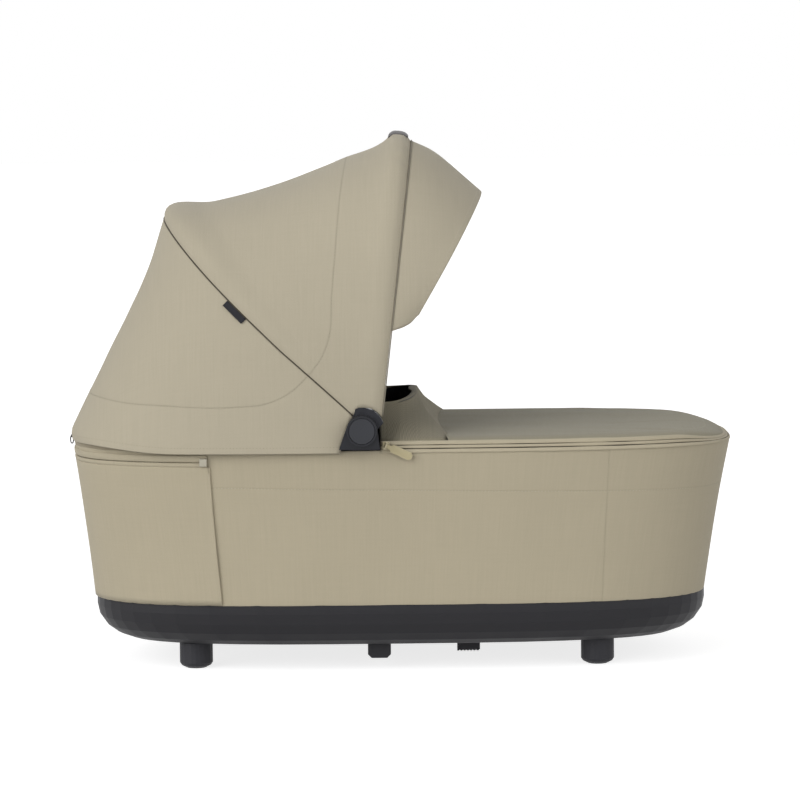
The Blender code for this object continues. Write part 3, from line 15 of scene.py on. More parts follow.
import bmesh
import bpy
import numpy as np
from mathutils import Matrix, Vector, noise


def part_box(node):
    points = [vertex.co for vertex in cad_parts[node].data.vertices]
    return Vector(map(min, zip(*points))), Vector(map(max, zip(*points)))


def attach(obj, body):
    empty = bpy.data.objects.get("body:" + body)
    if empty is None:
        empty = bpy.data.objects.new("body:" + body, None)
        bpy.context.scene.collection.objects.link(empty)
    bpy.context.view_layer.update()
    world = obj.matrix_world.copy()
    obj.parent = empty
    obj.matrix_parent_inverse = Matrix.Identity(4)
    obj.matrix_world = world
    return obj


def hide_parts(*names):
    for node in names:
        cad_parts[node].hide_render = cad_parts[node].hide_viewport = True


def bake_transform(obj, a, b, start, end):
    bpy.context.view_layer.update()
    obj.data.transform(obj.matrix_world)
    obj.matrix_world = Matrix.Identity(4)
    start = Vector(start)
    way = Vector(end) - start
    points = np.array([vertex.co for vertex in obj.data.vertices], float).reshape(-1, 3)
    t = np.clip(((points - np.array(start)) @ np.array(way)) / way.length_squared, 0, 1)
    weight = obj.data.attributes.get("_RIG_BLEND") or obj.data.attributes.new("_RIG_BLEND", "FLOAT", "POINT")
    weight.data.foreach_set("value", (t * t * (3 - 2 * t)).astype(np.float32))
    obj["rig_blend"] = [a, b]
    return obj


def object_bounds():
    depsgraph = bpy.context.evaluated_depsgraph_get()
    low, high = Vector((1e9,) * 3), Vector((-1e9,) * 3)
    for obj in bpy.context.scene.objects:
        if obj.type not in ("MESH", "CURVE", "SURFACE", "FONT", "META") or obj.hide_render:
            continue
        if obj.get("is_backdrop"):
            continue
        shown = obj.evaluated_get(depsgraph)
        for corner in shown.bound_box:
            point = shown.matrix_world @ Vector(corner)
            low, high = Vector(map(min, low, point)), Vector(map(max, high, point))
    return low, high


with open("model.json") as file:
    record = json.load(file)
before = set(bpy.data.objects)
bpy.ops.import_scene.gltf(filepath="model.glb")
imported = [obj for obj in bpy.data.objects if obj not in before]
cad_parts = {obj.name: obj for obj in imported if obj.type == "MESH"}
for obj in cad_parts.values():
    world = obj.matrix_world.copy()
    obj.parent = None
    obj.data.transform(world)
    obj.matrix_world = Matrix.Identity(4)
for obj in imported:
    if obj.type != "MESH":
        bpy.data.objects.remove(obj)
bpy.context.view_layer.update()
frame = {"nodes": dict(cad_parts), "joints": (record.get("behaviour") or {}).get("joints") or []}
log = logging.getLogger("carrycot")

Points = np.ndarray
Values = float | Points
Pair = tuple[float, float]
Triple = tuple[float, float, float]
Path = tuple[Points, Points, Points]
Object = bpy.types.Object
Material = bpy.types.Material
Socket = bpy.types.NodeSocket
Tree = bpy.types.NodeTree
Node = bpy.types.Node
Mesh = bmesh.types.BMesh
MM = 0.001
TOUCH = 0.0003
LEAST_SPAN = 1e-6
LEAST_LENGTH = 1e-12
ROUND_STEPS = 1200
THREAD_MAP = "threads"
LINE_MARKS = ("line_along", "line_across")
NO_LINE = 1.0
STITCH_POINTS = 10
HEM_DEGREES = range(30, 181, 30)
LINING_INSET = 0.0172


class Body(Enum):
    """Bodies of the frame that dressed pieces ride on."""

    COT = "cot"
    MIDDLE_BOW = "middle_bow_frame"
    CARRY_BOW = "carry_bow_frame"
    VISOR = "visor_frame"
    FLAP = "wind_flap_panel"


class Slot(Enum):
    """Material slots of the record."""

    WALL = "wall_cloth"
    HOOD = "hood_cloth"
    FLAP = "flap_cloth"
    DARK = "dark_cloth"
    MATTRESS = "mattress_cloth"
    TAPE = "tape_cloth"
    GRIP = "grip_hide"


class ThreadWay(Enum):
    """How a cloth's threads run: rolled along X, or round an upright axis."""

    ROLLED = "rolled"
    ROUND = "round"


# Lines and grids


def mix(low: Values, high: Values, share: Values) -> Values:
    """Value at a share of the way from low to high."""
    return low + (high - low) * share


def bell(distance: Points, width: float) -> Points:
    """One on a line, and fading to nothing about a width and a half away from it."""
    return np.exp(-((distance / width) ** 2))


def smooth(share: Points) -> Points:
    """Share from 0 to 1, with soft ends."""
    kept = np.clip(share, 0.0, 1.0)
    return kept * kept * (3.0 - 2.0 * kept)


def faded(height: Points, rate: float) -> Points:
    """Share that rises from 0 at a line to 1 above it, by a rate for each metre."""
    return np.clip(height * rate, 0, 1)


def powered(values: Points, power: float) -> Points:
    """Values raised to a power, each with its own sign."""
    return np.copysign(np.abs(values) ** power, values)


def rounded_half(share: Values, exponent: float) -> Values:
    """Half-width of a rounded outline at a share of its height; 1 is the full half-width."""
    return (1 - share**exponent) ** (1 / exponent)


def unit(vectors: Points) -> Points:
    """The same directions, each of length one."""
    return vectors / np.linalg.norm(vectors, axis=-1, keepdims=True).clip(LEAST_LENGTH)


def marks_along(line: Points) -> Points:
    """Distance of each point of a line from its start, measured along the line."""
    return np.concatenate([[0.0], np.cumsum(np.linalg.norm(np.diff(line, axis=0), axis=1))])


def sampled(line: Points, marks: Points, stops: Points) -> Points:
    """Points of a line at some stops, which are measured as its marks are."""
    return np.stack([np.interp(stops, marks, line[:, axis]) for axis in range(line.shape[1])], axis=1)


def respaced(line: Points, count: int, closed: bool = False) -> Points:
    """Points at even steps along a line.

    Args:
        line: Points of the line.
        count: How many points to return.
        closed: Whether the line runs back to its first point.

    Returns:
        The evenly spaced points.
    """
    whole = np.vstack([line, line[:1]]) if closed else line
    marks = marks_along(whole)
    return sampled(whole, marks, np.linspace(0.0, marks[-1], count, endpoint=not closed))


def through(rows: list[Points], step: float) -> tuple[Points, Points]:
    """Fine rows on a smooth surface through some rows.

    Args:
        rows: Rows of points, all of one length.
        step: Largest distance between the fine rows, where they lie furthest apart.

    Returns:
        The fine rows, and for each the index, with its fraction, among the given rows.
    """
    given = np.array(rows)
    steps = np.diff(given, axis=0)
    spans = np.linalg.norm(steps, axis=2, keepdims=True).clip(LEAST_SPAN)
    chords = steps / spans
    inner = (chords[:-1] * spans[1:] + chords[1:] * spans[:-1]) / (spans[:-1] + spans[1:])
    slopes = np.concatenate([chords[:1], inner, chords[-1:]])
    fine, places = [given[0]], [0.0]
    for index in range(len(rows) - 1):
        count = max(1, math.ceil(spans[index].max() / step))
        reach = spans[index]
        for part in range(1, count + 1):
            share = part / count
            low_pull = share**3 - 2 * share**2 + share
            high_pull = share**3 - share**2
            place = mix(given[index], given[index + 1], share**2 * (3 - 2 * share))
            fine.append(place + reach * (slopes[index] * low_pull + slopes[index + 1] * high_pull))
            places.append(index + share)
    return np.array(fine), np.array(places)


@dataclass(frozen=True)
class Waves:
    """Soft irregular waves of a cloth. The seed picks their pattern, and the scale draws them out."""

    length: float
    height: float
    seed: float
    scale: Triple = (1.0, 1.0, 1.0)

    def over(self, points: Points) -> Points:
        """Height of the waves at some places, in any arrangement whose last axis is xyz."""
        flat = (points * np.array(self.scale)).reshape(-1, 3) / self.length + self.seed
        waves = [noise.noise(Vector(place)) for place in flat.tolist()]
        return self.height * np.array(waves).reshape(points.shape[:-1])


@dataclass(frozen=True)
class Tilt:
    """A half-plane through a line along Y, in which a bow or a seam lies."""

    x: float
    z: float
    angle: float

    def at(self, reach: Points, y: Points) -> Points:
        """Places at distances from the line, measured in the plane."""
        x = self.x + reach * math.cos(self.angle)
        return np.stack([x, y, self.z + reach * math.sin(self.angle)], axis=-1)

    def normal(self) -> Points:
        """Direction square to the plane, to the foot end."""
        return np.array([math.sin(self.angle), 0.0, -math.cos(self.angle)])

    def shifted(self, distance: float) -> Tilt:
        """The same plane, moved along its normal."""
        step = self.normal() * distance
        return Tilt(self.x + step[0], self.z + step[2], self.angle)


def arch(tilt: Tilt, reach: float, half_width: float, exponent: float, start: float, count: int) -> Points:
    """Arch from the right leg over the top to the left leg.

    Args:
        tilt: Plane of the arch.
        reach: Height of the arch in its plane.
        half_width: Half of its width.
        exponent: How square it is; 2 is an ellipse.
        start: Height at which its legs end.
        count: Number of points.

    Returns:
        Evenly spaced points.
    """
    turn = np.linspace(0.0, math.pi, ROUND_STEPS)
    along = reach * np.sin(turn).clip(0.0) ** (2 / exponent)
    across = -half_width * powered(np.cos(turn), 2 / exponent)
    leg = half_width * rounded_half(start / reach, exponent)
    flat = np.vstack([(start, -leg), np.stack([along, across], axis=1)[along > start], (start, leg)])
    even = respaced(flat, count)
    return tilt.at(even[:, 0], even[:, 1])


@dataclass
class Patch:
    """A cloth as rows of points, with its blend shares and its distances to stitched lines."""

    grid: Points
    inside: Triple
    way: ThreadWay = ThreadWay.ROLLED
    closed: bool = False
    share: Points | None = None
    # Distances to sewn lines, along which the cloth's material paints shade.
    along: Points | None = None
    across: Points | None = None

    def __post_init__(self) -> None:
        """Fill in what wasn't given."""
        shape = self.grid.shape[:2]
        self.share = np.ones(shape) if self.share is None else self.share
        self.along = np.full(shape, NO_LINE) if self.along is None else self.along
        self.across = np.full(shape, NO_LINE) if self.across is None else self.across

    def whole(self) -> Points:
        """The grid, with the first column again at its end where the patch is closed."""
        return np.concatenate([self.grid, self.grid[:, :1]], axis=1) if self.closed else self.grid

    def normals(self) -> Points:
        """Directions out of the cloth, away from its inside."""
        rise = np.gradient(self.grid, axis=0)
        if self.closed:
            run = np.roll(self.grid, -1, axis=1) - np.roll(self.grid, 1, axis=1)
        else:
            run = np.gradient(self.grid, axis=1)
        out = unit(np.cross(rise, run))
        return out * self.turn(out)

    def turn(self, out: Points) -> float:
        """One if the grid's own normals face out, and minus one if they face in."""
        facing = np.sum(out * (self.grid - np.array(self.inside)))
        return 1.0 if facing > 0 else -1.0

    def pushed(self, height: Points) -> Patch:
        """The patch moved out by a height at each point."""
        return replace(self, grid=self.grid + self.normals() * height[..., None])

    def flipped(self) -> Patch:
        """The patch with its rows in the other order."""
        marks = {mark: getattr(self, mark)[::-1] for mark in ("grid", "share", "along", "across")}
        return replace(self, **marks)

    def turned(self) -> Patch:
        """The patch with its rows and columns exchanged."""
        return Patch(
            self.grid.transpose(1, 0, 2), self.inside, self.way, False,
            self.share.T, self.along.T, self.across.T,
        )

    def extended(self, rows: list[Points], keep_line: bool = False) -> Patch:
        """The patch with more rows after its last, into which a stitched line may run on."""
        extra = ((0, len(rows)), (0, 0))
        along = np.pad(self.along, extra, mode="edge")
        if not keep_line:
            along[-len(rows):] = NO_LINE
        return replace(
            self, grid=np.concatenate([self.grid, np.array(rows)]),
            share=np.pad(self.share, extra, mode="edge"), along=along,
            across=np.pad(self.across, extra, mode="edge"),
        )

    def hemmed(self, radius: float, tuck: float, first: bool = False, last: bool = True) -> Patch:
        """Fold the last row round to the inside, or the first one, or both.

        Args:
            radius: Radius of the fold.
            tuck: Width that is folded back.
            first: Whether to fold the first row.
            last: Whether to fold the last row.

        Returns:
            The patch with the added rows.
        """
        if first:
            made = self.flipped().hemmed(radius, tuck).flipped()
            return made.hemmed(radius, tuck) if last else made
        out = self.normals()[-1]
        forward = self.grid[-1] - self.grid[-2]
        forward = unit(forward - out * np.sum(forward * out, axis=1, keepdims=True))
        centre = self.grid[-1] - out * radius
        rows = []
        for degrees in HEM_DEGREES:
            angle = math.radians(degrees)
            rows.append(centre + radius * (out * math.cos(angle) + forward * math.sin(angle)))
        return self.extended(rows + [rows[-1] - forward * tuck])

    def threads(self) -> Points:
        """Place of each point in the uncut cloth, in metres; a closed patch has one more column."""
        grid = self.whole()
        step = np.diff(grid, axis=1)
        if self.way is ThreadWay.ROUND:
            run = np.linalg.norm(step[:, :, :2], axis=2).mean(axis=0)
            run = np.concatenate([[0.0], np.cumsum(run)])
            return np.stack(np.broadcast_arrays(run[None, :], grid[:, :, 2]), axis=2)
        run = np.cumsum(np.hypot(step[:, :, 1], step[:, :, 2]), axis=1)
        run = np.concatenate([np.zeros((len(grid), 1)), run], axis=1) + grid[:, :1, 2]
        return np.stack([grid[:, :, 0], run], axis=2)

    def flat_size(self) -> Pair:
        """Width and length of the cut, from the longest row and the longest way square to the rows."""
        grid = self.whole()
        rows = np.linalg.norm(np.diff(grid, axis=1), axis=2).sum(axis=1).max()
        way = unit(np.gradient(grid, axis=1)[:-1])
        step = np.diff(grid, axis=0)
        step -= way * np.sum(step * way, axis=2, keepdims=True)
        return float(rows), float(np.linalg.norm(step, axis=2).sum(axis=0).max())

    def from_first_row(self) -> Points:
        """Distance of each point from the first row, measured along its column."""
        steps = np.linalg.norm(np.diff(self.grid, axis=0), axis=2)
        return np.concatenate([np.zeros((1, steps.shape[1])), np.cumsum(steps, axis=0)])

    def inset_path(self, distance: float) -> Path:
        """Path at a distance from the first row, with its normals and blend shares."""
        return self.crossing(self.from_first_row() - distance)

    def crossing(self, marks: Points) -> Path:
        """Path along which the marks pass through zero, one point in each column at most.

        Args:
            marks: A signed distance at each point of the grid.

        Returns:
            Points of the path, the normals there and the blend shares there.
        """
        out = self.normals()
        places, facing, shares = [], [], []
        for column in range(marks.shape[1]):
            line = marks[:, column]
            found = np.nonzero(line[:-1] * line[1:] <= 0)[0]
            if not len(found) or abs(line[found[0]] - line[found[0] + 1]) < 1e-9:
                continue
            row = found[0]
            share = line[row] / (line[row] - line[row + 1])
            for kept, values in ((places, self.grid), (facing, out), (shares, self.share)):
                kept.append(mix(values[row, column], values[row + 1, column], share))
        return np.array(places), np.array(facing), np.array(shares)


# Meshes


def new_object(name: str, mesh: Mesh, look: Material) -> Object:
    """Object with a smooth-shaded mesh and its material.

    Args:
        name: Name of the piece.
        mesh: Its mesh, which is freed.
        look: Its material.

    Returns:
        The object, linked to the scene.
    """
    data = bpy.data.meshes.new(name)
    mesh.to_mesh(data)
    mesh.free()
    data.shade_smooth()
    data.materials.append(look)
    made = bpy.data.objects.new(name, data)
    bpy.context.scene.collection.objects.link(made)
    return made


def write_mark(piece: Object, name: str, values: Points) -> None:
    """Write one number for each point of a mesh as an attribute."""
    found = piece.data.attributes.get(name)
    mark = found or piece.data.attributes.new(name, "FLOAT", "POINT")
    mark.data.foreach_set("value", np.ascontiguousarray(values, dtype=np.float32).ravel())


def sewn(name: str, patch: Patch, thickness: float, finish: Finish,
         lining: Finish | None = None) -> Object:
    """Make the mesh of a patch of cloth, with its thickness.

    Args:
        name: Name of the piece.
        patch: The cloth.
        thickness: Thickness, laid to the inside.
        finish: Finish of the outer side.
        lining: Finish of the inner side, or None for the same.

    Returns:
        The cloth as an object.
    """
    rows, columns = patch.grid.shape[:2]
    mesh = bmesh.new()
    points = [mesh.verts.new(place) for place in patch.grid.reshape(-1, 3).tolist()]
    threads = mesh.loops.layers.uv.new(THREAD_MAP)
    places = patch.threads()
    rise = np.gradient(patch.grid, axis=0)
    run = np.gradient(patch.grid, axis=1)
    outward = patch.turn(np.cross(rise, run)) > 0
    last = columns if patch.closed else columns - 1
    for row in range(rows - 1):
        for column in range(last):
            corners = [(row, column), (row + 1, column), (row + 1, column + 1), (row, column + 1)]
            if not outward:
                corners.reverse()
            face = mesh.faces.new([points[r * columns + c % columns] for r, c in corners])
            for loop, corner in zip(face.loops, corners):
                loop[threads].uv = places[corner]
    made = new_object(name, mesh, finish.look())
    for mark, values in zip(LINE_MARKS, (patch.along, patch.across)):
        write_mark(made, mark, values)
    if thickness:
        shell = made.modifiers.new("thickness", "SOLIDIFY")
        shell.thickness = thickness
        shell.offset = -1.0
        if lining:
            made.data.materials.append(lining.look())
            shell.material_offset = 1
    return made


def settle(piece: Object, body: Body, nodes: tuple[str, ...] = ()) -> Object:
    """Let a piece ride on its body and stand for CAD nodes."""
    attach(piece, body.value)
    if nodes:
        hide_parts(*nodes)
    return piece


def bend(piece: Object, low: Body, high: Body, shares: Points, slot: Slot,
         nodes: tuple[str, ...] = ()) -> Object:
    """Let a cloth follow two bodies of one joint, each point by its own share.

    The hood opens like a fan about its hinge, so a share follows the row of the cloth, not a straight line.

    Args:
        piece: The cloth, with no parent.
        low: Body that share 0 follows.
        high: Body that share 1 follows.
        shares: Share of each point.
        slot: Not used.
        nodes: CAD nodes that the piece stands for.

    Returns:
        The piece.
    """
    low_corner, high_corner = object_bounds()
    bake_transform(piece, low.value, high.value, start=low_corner, end=high_corner)
    write_mark(piece, "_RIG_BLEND", shares)
    if nodes:
        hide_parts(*nodes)
    return piece


def declare(piece: Object, patch: Patch) -> None:
    """Log the size that a piece's patch was cut to."""
    width, length = patch.flat_size()
    log.info("%s: cut %.0f x %.0f mm", piece.name, width / MM, length / MM)


def skinned(rings: Points | list[Points]) -> Mesh:
    """Closed mesh over some rings of points, with a cap at each end."""
    mesh = bmesh.new()
    rows = [[mesh.verts.new(place) for place in ring.tolist()] for ring in rings]
    for low, high in zip(rows, rows[1:]):
        for side in range(len(low)):
            after = (side + 1) % len(low)
            mesh.faces.new((low[side], low[after], high[after], high[side]))
    mesh.faces.new(rows[0][::-1])
    mesh.faces.new(rows[-1])
    return mesh


def tube(name: str, path: Points, radius: float | Pair, normal: Points, finish: Finish,
         sides: int) -> Object:
    """Round or oval bar along a path.

    Args:
        name: Name of the piece.
        path: Its middle line.
        radius: Its radius, or its half-sizes along the plane's normal and in the plane.
        normal: Normal of the path's plane.
        finish: Its finish.
        sides: Number of its sides.

    Returns:
        The bar as an object.
    """
    deep, thick = radius if isinstance(radius, tuple) else (radius, radius)
    ahead = unit(np.gradient(path, axis=0))
    outward = unit(np.cross(ahead, normal))
    upward = np.cross(outward, ahead)
    turns = (np.arange(sides) + 0.5) * math.tau / sides
    rings = path[:, None] + upward[:, None] * deep * np.cos(turns)[None, :, None]
    rings = rings + outward[:, None] * thick * np.sin(turns)[None, :, None]
    mesh = skinned(rings)
    bmesh.ops.recalc_face_normals(mesh, faces=mesh.faces)
    return new_object(name, mesh, finish.look())


@dataclass(frozen=True)
class Thread:
    """Size of a row of stitches."""

    length: float = 0.0026
    gap: float = 0.0014
    radius: float = 0.00032

    def sew(self, name: str, path: Points, facing: Points, finish: Finish,
            shares: Points | None = None) -> tuple[Object, Points]:
        """Sew a row of stitches along a path.

        Args:
            name: Name of the piece.
            path: Points of the line.
            facing: Normals of the cloth at those points.
            finish: Finish of the thread.
            shares: Blend shares at those points.

        Returns:
            The stitches as one object, and the blend share of each of its points.
        """
        step = self.length + self.gap
        marks = marks_along(path)
        count = max(2, int(marks[-1] / step))
        middles = (np.arange(count) + 0.5) * marks[-1] / count
        values = np.ones(len(path)) if shares is None else shares
        rows = sampled(np.column_stack([path, facing, values]), marks, middles)
        ahead = unit(sampled(path, marks, middles + step / 4) - sampled(path, marks, middles - step / 4))
        mesh = bmesh.new()
        for row, way in zip(rows, ahead):
            self.stitch(mesh, row[:3], way, row[3:6])
        made = new_object(name, mesh, finish.look())
        return made, np.repeat(rows[:, 6], STITCH_POINTS)

    def stitch(self, mesh: Mesh, middle: Points, way: Points, out: Points) -> None:
        """Add one stitch: a bar with pointed ends, half sunk into the cloth."""
        beside = unit(np.cross(way, out))
        ends = [middle - way * self.length / 2, middle + way * self.length / 2]
        tips = [mesh.verts.new(end - out * self.radius) for end in ends]
        rings = []
        for place in (middle - way * self.length / 4, middle + way * self.length / 4):
            corners = (beside, out, -beside, -out)
            rings.append([mesh.verts.new(place + corner * self.radius) for corner in corners])
        for side in range(4):
            after = (side + 1) % 4
            mesh.faces.new((tips[0], rings[0][after], rings[0][side]))
            mesh.faces.new((rings[0][side], rings[0][after], rings[1][after], rings[1][side]))
            mesh.faces.new((tips[1], rings[1][side], rings[1][after]))


# Shader nodes


class Wiring:
    """Adds nodes to a tree and links them."""

    def __init__(self, tree: Tree) -> None:
        """Keep the tree."""
        self.tree = tree

    def add(self, kind: str, **settings: object) -> Node:
        """Add a node and set its own settings."""
        made = self.tree.nodes.new(kind)
        for name, value in settings.items():
            setattr(made, name, value)
        return made

    def feed(self, value: object, socket: Socket) -> None:
        """Link an output to a socket, or write a plain value there."""
        if isinstance(value, Socket):
            self.tree.links.new(value, socket)
        else:
            socket.default_value = value

    def math(self, operation: str, first: object, second: object = 0.0,
             clamp: bool = False) -> Socket:
        """Result of a sum on two values or sockets."""
        made = self.add("ShaderNodeMath", operation=operation, use_clamp=clamp)
        self.feed(first, made.inputs[0])
        self.feed(second, made.inputs[1])
        return made.outputs[0]

    def product(self, *factors: object, clamp: bool = False) -> Socket:
        """Product of some values or sockets."""
        result = factors[0]
        for factor in factors[1:]:
            result = self.math("MULTIPLY", result, factor, clamp)
        return result

    def ramp(self, value: object, low: float, high: float, to_low: float = 0.0,
             to_high: float = 1.0) -> Socket:
        """Value moved from one range to another, and kept in it."""
        made = self.add("ShaderNodeMapRange", clamp=True)
        for socket, number in zip(made.inputs[:5], (value, low, high, to_low, to_high)):
            self.feed(number, socket)
        return made.outputs[0]

    def stretched(self, vector: object, scale: Triple) -> Socket:
        """Vector with each part multiplied."""
        made = self.add("ShaderNodeVectorMath", operation="MULTIPLY")
        self.feed(vector, made.inputs[0])
        self.feed(scale, made.inputs[1])
        return made.outputs[0]

    def noise(self, vector: object, scale: float, detail: float = 2.0) -> Socket:
        """Noise from 0 to 1."""
        made = self.add("ShaderNodeTexNoise")
        self.feed(vector, made.inputs["Vector"])
        made.inputs["Scale"].default_value = scale
        made.inputs["Detail"].default_value = detail
        return made.outputs["Fac"]

    def bump(self, height: object, strength: float, distance: float) -> Socket:
        """Normal of a surface that a height from 0 to 1 raises."""
        made = self.add("ShaderNodeBump")
        made.inputs["Strength"].default_value = strength
        made.inputs["Distance"].default_value = distance
        self.feed(height, made.inputs["Height"])
        return made.outputs[0]


class Effects:
    """Shader groups that several materials share. Each is built once."""

    upright_slubs = (520.0, 14.0, 1.0)
    level_slubs = (14.0, 420.0, 1.0)
    faded_patches = (9.0, 9.0, 1.0)
    level_share = 0.45

    @staticmethod
    def start(name: str, inputs: dict[str, float],
              outputs: tuple[str, ...]) -> tuple[Wiring, dict, Node]:
        """Begin a group with float sockets.

        Args:
            name: Name of the group.
            inputs: Names and default values of its inputs.
            outputs: Names of its outputs.

        Returns:
            The wiring, the input sockets by name and the output node.
        """
        tree = bpy.data.node_groups.new(name, "ShaderNodeTree")
        for socket, value in inputs.items():
            made = tree.interface.new_socket(socket, in_out="INPUT", socket_type="NodeSocketFloat")
            made.default_value = value
        for socket in outputs:
            tree.interface.new_socket(socket, in_out="OUTPUT", socket_type="NodeSocketFloat")
        wiring = Wiring(tree)
        entry = wiring.add("NodeGroupInput")
        return wiring, {socket: entry.outputs[socket] for socket in inputs}, wiring.add("NodeGroupOutput")

    @classmethod
    @cache
    def weave(cls) -> Tree:
        """Plain weave with uneven threads. Tone is near 1, and Height is from 0 to 1."""
        inputs = {"Pitch": 0.0006, "Slub": 0.05, "Fade": 0.02}
        wiring, given, result = cls.start("plain_weave", inputs, ("Tone", "Height"))
        place = wiring.add("ShaderNodeUVMap", uv_map=THREAD_MAP).outputs[0]
        split = wiring.add("ShaderNodeSeparateXYZ")
        wiring.feed(place, split.inputs[0])
        waves = []
        for socket in (split.outputs[0], split.outputs[1]):
            turns = wiring.math("DIVIDE", wiring.math("MULTIPLY", socket, math.pi), given["Pitch"])
            waves.append(wiring.math("SINE", turns))
        basket = wiring.math("MULTIPLY", waves[0], waves[1])
        upright = wiring.noise(wiring.stretched(place, cls.upright_slubs), 1.0, 3.0)
        level = wiring.noise(wiring.stretched(place, cls.level_slubs), 1.0, 3.0)
        broad = wiring.noise(wiring.stretched(place, cls.faded_patches), 1.0, 2.0)
        slub = wiring.math("SUBTRACT", upright, 0.5)
        slub = wiring.math("ADD", slub, wiring.product(level, cls.level_share))
        slub = wiring.math("SUBTRACT", slub, cls.level_share / 2)
        tone = wiring.product(slub, given["Slub"])
        fade = wiring.product(wiring.math("SUBTRACT", broad, 0.5), given["Fade"])
        tone = wiring.math("ADD", wiring.math("ADD", tone, fade), 1.0)
        deep = wiring.product(basket, 0.5, given["Slub"])
        wiring.feed(wiring.math("ADD", tone, deep), result.inputs["Tone"])
        height = wiring.math("ADD", wiring.product(basket, 0.3), slub)
        wiring.feed(wiring.math("ADD", height, 0.5), result.inputs["Height"])
        return wiring.tree

    @classmethod
    @cache
    def line(cls) -> Tree:
        """Creases of sewn lines, from the distances on the mesh: 1 on a line, and 0 away from it. Cloths
        darken their colour with them as painted shade, and sink their bumps.
        """
        wiring, given, result = cls.start("sewn_line", {"Width": 0.0012}, ("Crease", "Seam"))
        for mark, output in zip(LINE_MARKS, ("Crease", "Seam")):
            distance = wiring.add("ShaderNodeAttribute", attribute_name=mark).outputs["Fac"]
            share = wiring.math("DIVIDE", distance, given["Width"])
            square = wiring.product(share, share, -1.0)
            wiring.feed(wiring.math("EXPONENT", square), result.inputs[output])
        return wiring.tree

    @classmethod
    @cache
    def grain(cls) -> Tree:
        """Fine pebbled grain of moulded plastic, rubber or hide. Height and Tone are from 0 to 1."""
        wiring, given, result = cls.start("moulded_grain", {"Size": 0.0006}, ("Height", "Tone"))
        place = wiring.add("ShaderNodeTexCoord").outputs["Object"]
        scaled = wiring.add("ShaderNodeVectorMath", operation="SCALE")
        wiring.feed(place, scaled.inputs[0])
        wiring.feed(wiring.math("DIVIDE", 1.0, given["Size"]), scaled.inputs["Scale"])
        cells = wiring.add("ShaderNodeTexVoronoi", feature="SMOOTH_F1")
        wiring.feed(scaled.outputs[0], cells.inputs["Vector"])
        cells.inputs["Scale"].default_value = 1.0
        height = wiring.math("SUBTRACT", 1.0, cells.outputs["Distance"], clamp=True)
        wiring.feed(height, result.inputs["Height"])
        wiring.feed(wiring.noise(place, 22.0, 4.0), result.inputs["Tone"])
        return wiring.tree

    @classmethod
    @cache
    def edge_wear(cls) -> Tree:
        """Mask of rubbed outer edges, from 0 to 1."""
        wiring, given, result = cls.start("edge_wear", {"Amount": 0.5}, ("Mask",))
        point = wiring.add("ShaderNodeNewGeometry").outputs["Pointiness"]
        edge = wiring.ramp(point, 0.53, 0.60)
        place = wiring.add("ShaderNodeTexCoord").outputs["Object"]
        broken = wiring.ramp(wiring.noise(place, 90.0, 3.0), 0.35, 0.65, to_low=0.2)
        wiring.feed(wiring.product(edge, broken, given["Amount"], clamp=True), result.inputs["Mask"])
        return wiring.tree

    @classmethod
    @cache
    def dust(cls) -> Tree:
        """Mask of settled dust on what faces up, from 0 to 1."""
        wiring, given, result = cls.start("settled_dust", {"Amount": 0.2}, ("Mask",))
        split = wiring.add("ShaderNodeSeparateXYZ")
        wiring.feed(wiring.add("ShaderNodeNewGeometry").outputs["Normal"], split.inputs[0])
        up = wiring.ramp(split.outputs[2], 0.3, 1.0)
        place = wiring.add("ShaderNodeTexCoord").outputs["Object"]
        spots = wiring.ramp(wiring.noise(place, 60.0, 6.0), 0.35, 0.7, to_low=0.2)
        wiring.feed(wiring.product(up, spots, given["Amount"], clamp=True), result.inputs["Mask"])
        return wiring.tree


def placed(wiring: Wiring, tree: Tree, **values: float) -> Node:
    """Place a shader group in a material with its own values."""
    made = wiring.add("ShaderNodeGroup", node_tree=tree)
    for name, value in values.items():
        made.inputs[name.capitalize()].default_value = value
    return made


def principled(name: str) -> tuple[Material, Wiring, Node]:
    """New material with its wiring and its Principled shader."""
    made = bpy.data.materials.new(name)
    made.use_nodes = True
    return made, Wiring(made.node_tree), made.node_tree.nodes["Principled BSDF"]


def scaled_colour(wiring: Wiring, colour: object, tone: object) -> Socket:
    """Colour multiplied by a tone."""
    made = wiring.add("ShaderNodeVectorMath", operation="SCALE")
    wiring.feed(colour, made.inputs[0])
    wiring.feed(tone, made.inputs["Scale"])
    return made.outputs[0]


def blended_colour(wiring: Wiring, low: object, high: object, share: object) -> Socket:
    """Colour between two colours."""
    made = wiring.add("ShaderNodeMix", data_type="RGBA")
    wiring.feed(share, made.inputs["Factor"])
    for socket, colour in zip([item for item in made.inputs if item.type == "RGBA"], (low, high)):
        wiring.feed((*colour, 1.0) if isinstance(colour, tuple) else colour, socket)
    return next(item for item in made.outputs if item.type == "RGBA")


